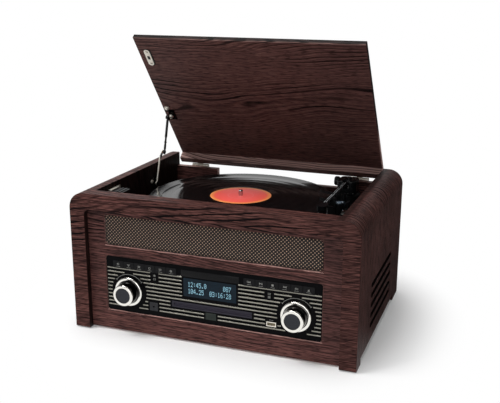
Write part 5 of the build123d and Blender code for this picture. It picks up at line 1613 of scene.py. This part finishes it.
@dataclass
class LidStay:
    """Two-link stay that holds the lid open."""

    lower_x: float = -186.0
    upper_x: float = -182.0
    foot: tuple[float, float] = (214.8, 186.0)
    knee: tuple[float, float] = (240.55, 236.74)
    head: tuple[float, float] = (256.949, 295.701)
    crank: tuple[float, float] = (229.9, 227.6)
    rod_radius: float = 1.7
    eye_radius: float = 3.6
    eye_thickness: float = 2.6
    lid_heads: tuple[tuple[Point, float], ...] = (
        ((-180.2, 86.9, 313.4), 4.6), ((-177.8, 95.9, 297.6), 4.9)
    )
    foot_head: tuple[Point, float] = ((-191.4, 41.0, 190.0), 3.4)

    def at(self, x: float, place: tuple[float, float]) -> Vector:
        """Give the point of a pivot on one link."""
        return Vector((x, depth(place[0]), place[1]))

    def eye(self, shape: Shape, middle: Vector) -> None:
        """Add a round eye about a pivot."""
        half = Vector((self.eye_thickness / 2, 0, 0))
        rod(shape, middle - half, middle + half, self.eye_radius, 0.4, 32)

    def build_lower(self) -> None:
        """Build the bright lower rod with its eyes, an assumed crank below the knee and a sleeve on it."""
        shape = bmesh.new()
        foot, knee = self.at(self.lower_x, self.foot), self.at(self.lower_x, self.knee)
        self.eye(shape, foot)
        self.eye(shape, knee)
        crank = self.at(self.lower_x, self.crank)
        rod(shape, crank, knee, 1.2)
        rod(shape, foot.lerp(crank, 0.04), crank, self.rod_radius)
        settle(shape, "stay_lower_rod", SATIN_NICKEL, "stay_lower", ["stay_lower_link"])
        shape = bmesh.new()
        rod(shape, crank.lerp(foot, 0.04), knee.lerp(crank, 0.2), 1.85, 0.35)
        rod(shape, crank.lerp(knee, 0.30), crank.lerp(knee, 0.55), 1.95, 0.3)
        settle(shape, "stay_knee_sleeve", SATIN_BLACK, "stay_lower")

    def build_upper(self) -> None:
        """Build the black upper arm, stepped where its sleeve ends."""
        shape = bmesh.new()
        knee, head = self.at(self.upper_x, self.knee), self.at(self.upper_x, self.head)
        self.eye(shape, head)
        self.eye(shape, knee)
        rod(shape, knee.lerp(head, -0.07), knee.lerp(head, 0.96), 1.7)
        for start, finish, radius in ((0.08, 0.22, 2.0), (0.26, 0.30, 2.3), (0.42, 0.93, 2.2)):
            rod(shape, knee.lerp(head, start), knee.lerp(head, finish), radius, 0.35)
        settle(shape, "stay_upper_arm", SATIN_BLACK, "stay_upper", ["stay_upper_link"])

    def build_heads(self) -> None:
        """Fit the domed screw heads: two on the lid's bracket and one by the lower pivot."""
        into_lid = Vector((0, math.sin(LID_OPEN), math.cos(LID_OPEN)))
        shape = bmesh.new()
        for place, radius in self.lid_heads:
            self.dome(shape, Vector(place), -into_lid, radius)
        settle(shape, "stay_lid_heads", SATIN_NICKEL, "lid")
        shape = bmesh.new()
        place, radius = self.foot_head
        self.dome(shape, Vector(place), Vector((1, 0, 0)), radius)
        settle(shape, "stay_foot_head", SATIN_NICKEL, "cabinet")

    def dome(self, shape: Shape, base: Vector, way: Vector, radius: float) -> None:
        """Add a domed head that stands on a face.

        Args:
            shape: mesh that gets the head.
            base: its centre on the face.
            way: the direction it stands in.
            radius: its radius.
        """
        rim, rise = 0.6, 0.7 * radius
        arc = [(radius * math.cos(a), rim + rise * math.sin(a)) for a in (0, 0.35, 0.7, 1.05, 1.3)]
        profile = [(0, 0), (radius, 0), *arc, (0, rim + rise)]
        turned(shape, profile, aim(base, base + way), 24)

    def build(self) -> None:
        """Build both links and their screw heads."""
        self.build_lower()
        self.build_upper()
        self.build_heads()

    def dress(self) -> None:
        """Put finishes on the brackets."""
        BLACK_CHROME.dress("stay_bracket", "stay_lid_bracket")


@dataclass
class Works:
    """What is inside, and the sockets at the back: CAD parts that are only dressed."""

    def dress(self) -> None:
        """Put finishes on the boards, the disc drive and the sockets."""
        GALVANISED.dress("cd_mechanism")
        CIRCUIT.dress("main_board")
        COIL_TAPE.dress("power_transformer")
        NYLON_BLACK.dress("mains_inlet")
        NICKEL.dress("line_out_sockets")


# ---------------------------------------------------------------------------
# Staging
# ---------------------------------------------------------------------------
@dataclass(frozen=True)
class StudioFloor(Finish):
    """Pale floor that shows the object's shadow close by and fades to white further out."""

    colour: str = "eeeeee"
    lift: float = 0.10
    near: float = 0.235
    far: float = 0.37

    def shader(self, tree: Tree) -> Node:
        """Build the floor's paper and its fade.

        Args:
            tree: the material's node tree.

        Returns:
            The floor's shader.
        """
        place = add(tree, "TexCoord")
        away = add(tree, "VectorMath", {0: (place, "Object")}, operation="LENGTH")
        fade = add(
            tree, "MapRange", {0: (away, 1), 1: self.near, 2: self.far}, interpolation_type="SMOOTHSTEP"
        )
        tooth = add(tree, "TexNoise", {"Vector": (place, "Object"), "Scale": 400.0, "Detail": 2.0})
        relief = add(tree, "Bump", {"Strength": 0.02, "Distance": 0.0002, "Height": (tooth, "Fac")})
        paper = add(tree, "BsdfDiffuse", {"Color": linear(self.colour), "Normal": relief})
        glow = add(tree, "Emission", {"Color": (1, 1, 1, 1), "Strength": self.lift})
        path = add(tree, "LightPath")
        lifted = add(tree, "AddShader", {0: paper, 1: glow})
        near = add(tree, "MixShader", {0: (path, "Is Camera Ray"), 1: paper, 2: lifted})
        white = add(tree, "Emission", {"Color": (1, 1, 1, 1), "Strength": 1.0})
        faded = add(tree, "Math", {0: fade, 1: (path, "Is Camera Ray")}, operation="MULTIPLY")
        shown = add(tree, "MixShader", {0: faded, 1: near, 2: white})
        way = add(tree, "VectorMath", {0: (place, "Object")}, operation="NORMALIZE")
        mirrored = add(tree, "Emission", {"Color": (bright_side(tree, way, 0.95), 0), "Strength": 1.0})
        gloss = add(
            tree, "Math", {0: (path, "Is Glossy Ray"), 1: (path, "Is Transmission Ray")},
            operation="MAXIMUM"
        )
        return add(tree, "MixShader", {0: gloss, 1: shown, 2: mirrored})


def bright_side(
    tree: Tree, way: tuple[Node, int | str], front: float
) -> Node:
    """Give how bright the studio is this way, as gloss shows it: white at the back left, dim at the right.

    Args:
        tree: the node tree.
        way: node and output that hold a unit direction.
        front: how bright it is on the viewer's side.

    Returns:
        A node whose value goes from dim to 1.
    """
    turned = add(tree, "VectorMath", {0: way, 1: BRIGHTEST}, operation="DOT_PRODUCT")
    behind = add(
        tree, "MapRange", {0: (turned, 1), 1: 0.45, 2: 0.85, 3: 0.08, 4: 1.0},
        interpolation_type="SMOOTHSTEP"
    )
    nearer = add(tree, "VectorMath", {0: way, 1: (0, -1, 0)}, operation="DOT_PRODUCT")
    ahead = add(tree, "MapRange", {0: (nearer, 1), 1: 0.0, 2: 0.6, 3: 0.0, 4: front})
    return add(tree, "Math", {0: behind, 1: ahead}, operation="MAXIMUM")


@dataclass
class Studio:
    """Floor, soft lamps, pale surroundings and camera."""

    focal_px: float = 779.48
    centre_px: tuple[float, float] = (252.45, 198.94)
    image_px: tuple[int, int] = (500, 403)
    sensor: float = 36.0
    yaw: float = 19.93
    pitch: float = 15.51
    roll: float = 0.23
    camera_at: Point = (422.8, -1136.9, 524.9)
    floor_radius: float = 6000.0
    room_light: float = 0.24
    clip: tuple[float, float] = (0.05, 30.0)
    lamps: tuple[tuple[str, Point, Point, float, float], ...] = (
        ("key_lamp", (-1.0, -0.8, 2.6), (0.0, 0.0, 0.2), 1.0, 46.0),
        ("fill_lamp", (0.3, -2.3, 0.6), (0.0, 0.0, 0.3), 1.4, 12.0),
        ("top_lamp", (-0.1, 0.1, 2.7), (0.0, 0.0, 0.2), 1.6, 30.0),
    )

    def build_floor(self) -> None:
        """Lay the floor."""
        shape = bmesh.new()
        bmesh.ops.create_circle(shape, cap_ends=True, segments=96, radius=self.floor_radius * MM)
        mesh = bpy.data.meshes.new("studio_floor")
        shape.to_mesh(mesh)
        shape.free()
        mesh.materials.append(StudioFloor("pale_paper_floor").material())
        floor = bpy.data.objects.new("studio_floor", mesh)
        bpy.context.scene.collection.objects.link(floor)

    def light(self, name: str, at: Point, target: Point, size: float, power: float) -> None:
        """Hang one soft lamp.

        Args:
            name: the lamp's name.
            at: where it hangs, in metres.
            target: what it faces, in metres.
            size: its side, in metres.
            power: its power, in watts.
        """
        lamp = bpy.data.lights.new(name, "AREA")
        lamp.shape = "SQUARE"
        lamp.size = size
        lamp.energy = power
        hung = bpy.data.objects.new(name, lamp)
        hung.location = at
        hung.rotation_euler = (Vector(target) - Vector(at)).to_track_quat("-Z", "Y").to_euler()
        bpy.context.scene.collection.objects.link(hung)

    def build_world(self) -> None:
        """Make the surroundings: white to the camera, even and dim as light, a one-sided sweep to gloss."""
        world = bpy.data.worlds.new("studio")
        bpy.context.scene.world = world
        world.use_nodes = True
        tree = world.node_tree
        tree.nodes.clear()
        place = add(tree, "TexCoord")
        sweep = bright_side(tree, (place, "Generated"), 0.15)
        path = add(tree, "LightPath")
        gloss = add(
            tree, "Math", {0: (path, "Is Glossy Ray"), 1: (path, "Is Transmission Ray")},
            operation="MAXIMUM"
        )
        room = add(tree, "Background", {"Color": (1, 1, 1, 1), "Strength": self.room_light})
        mirrored = add(tree, "Background", {"Color": sweep, "Strength": 1.0})
        seen = add(tree, "Background", {"Color": (1, 1, 1, 1), "Strength": 1.0})
        inner = add(tree, "MixShader", {0: gloss, 1: room, 2: mirrored})
        outer = add(tree, "MixShader", {0: (path, "Is Camera Ray"), 1: inner, 2: seen})
        add(tree, "OutputWorld", {"Surface": outer})

    def build_lights(self) -> None:
        """Hang a key lamp high at the left, a fill lamp in front and a top lamp overhead."""
        for lamp in self.lamps:
            self.light(*lamp)

    def build_camera(self) -> None:
        """Set the camera at its measured place."""
        data = bpy.data.cameras.new("viewpoint")
        data.sensor_width = self.sensor
        data.lens = self.focal_px * self.sensor / self.image_px[0]
        data.shift_x = (self.image_px[0] / 2 - self.centre_px[0]) / self.image_px[0]
        data.shift_y = (self.centre_px[1] - self.image_px[1] / 2) / self.image_px[0]
        data.clip_start, data.clip_end = self.clip
        camera = bpy.data.objects.new("viewpoint", data)
        yaw, pitch, roll = (math.radians(a) for a in (self.yaw, self.pitch, self.roll))
        level = math.cos(pitch)
        ahead = Vector((-math.sin(yaw) * level, math.cos(yaw) * level, -math.sin(pitch)))
        right = Vector((math.cos(yaw), math.sin(yaw), 0))
        up = right.cross(ahead)
        rolled_right = right * math.cos(roll) + up * math.sin(roll)
        rolled_up = rolled_right.cross(ahead)
        turn = Matrix((rolled_right, rolled_up, -ahead)).transposed()
        camera.matrix_world = Matrix.Translation(Vector(self.camera_at) * MM) @ turn.to_4x4()
        bpy.context.scene.collection.objects.link(camera)
        bpy.context.scene.camera = camera

    def build(self) -> None:
        """Make floor, world, lamps and camera."""
        self.build_floor()
        self.build_world()
        self.build_lights()
        self.build_camera()
        bpy.context.scene.view_settings.view_transform = "Standard"


def main() -> None:
    """Build and dress every sub-assembly, then stage it."""
    logging.basicConfig(level=logging.INFO, format="%(name)s: %(message)s")
    knobs = (ControlKnob("left", -133.5), ControlKnob("right", 133.5))
    for part in (Cabinet(), Grille(), Fascia(), *knobs, RecordDeck(), Tonearm(), Lid(), LidStay()):
        part.dress()
        part.build()
    Works().dress()
    Studio().build()


if __name__ == "__main__":
    main()
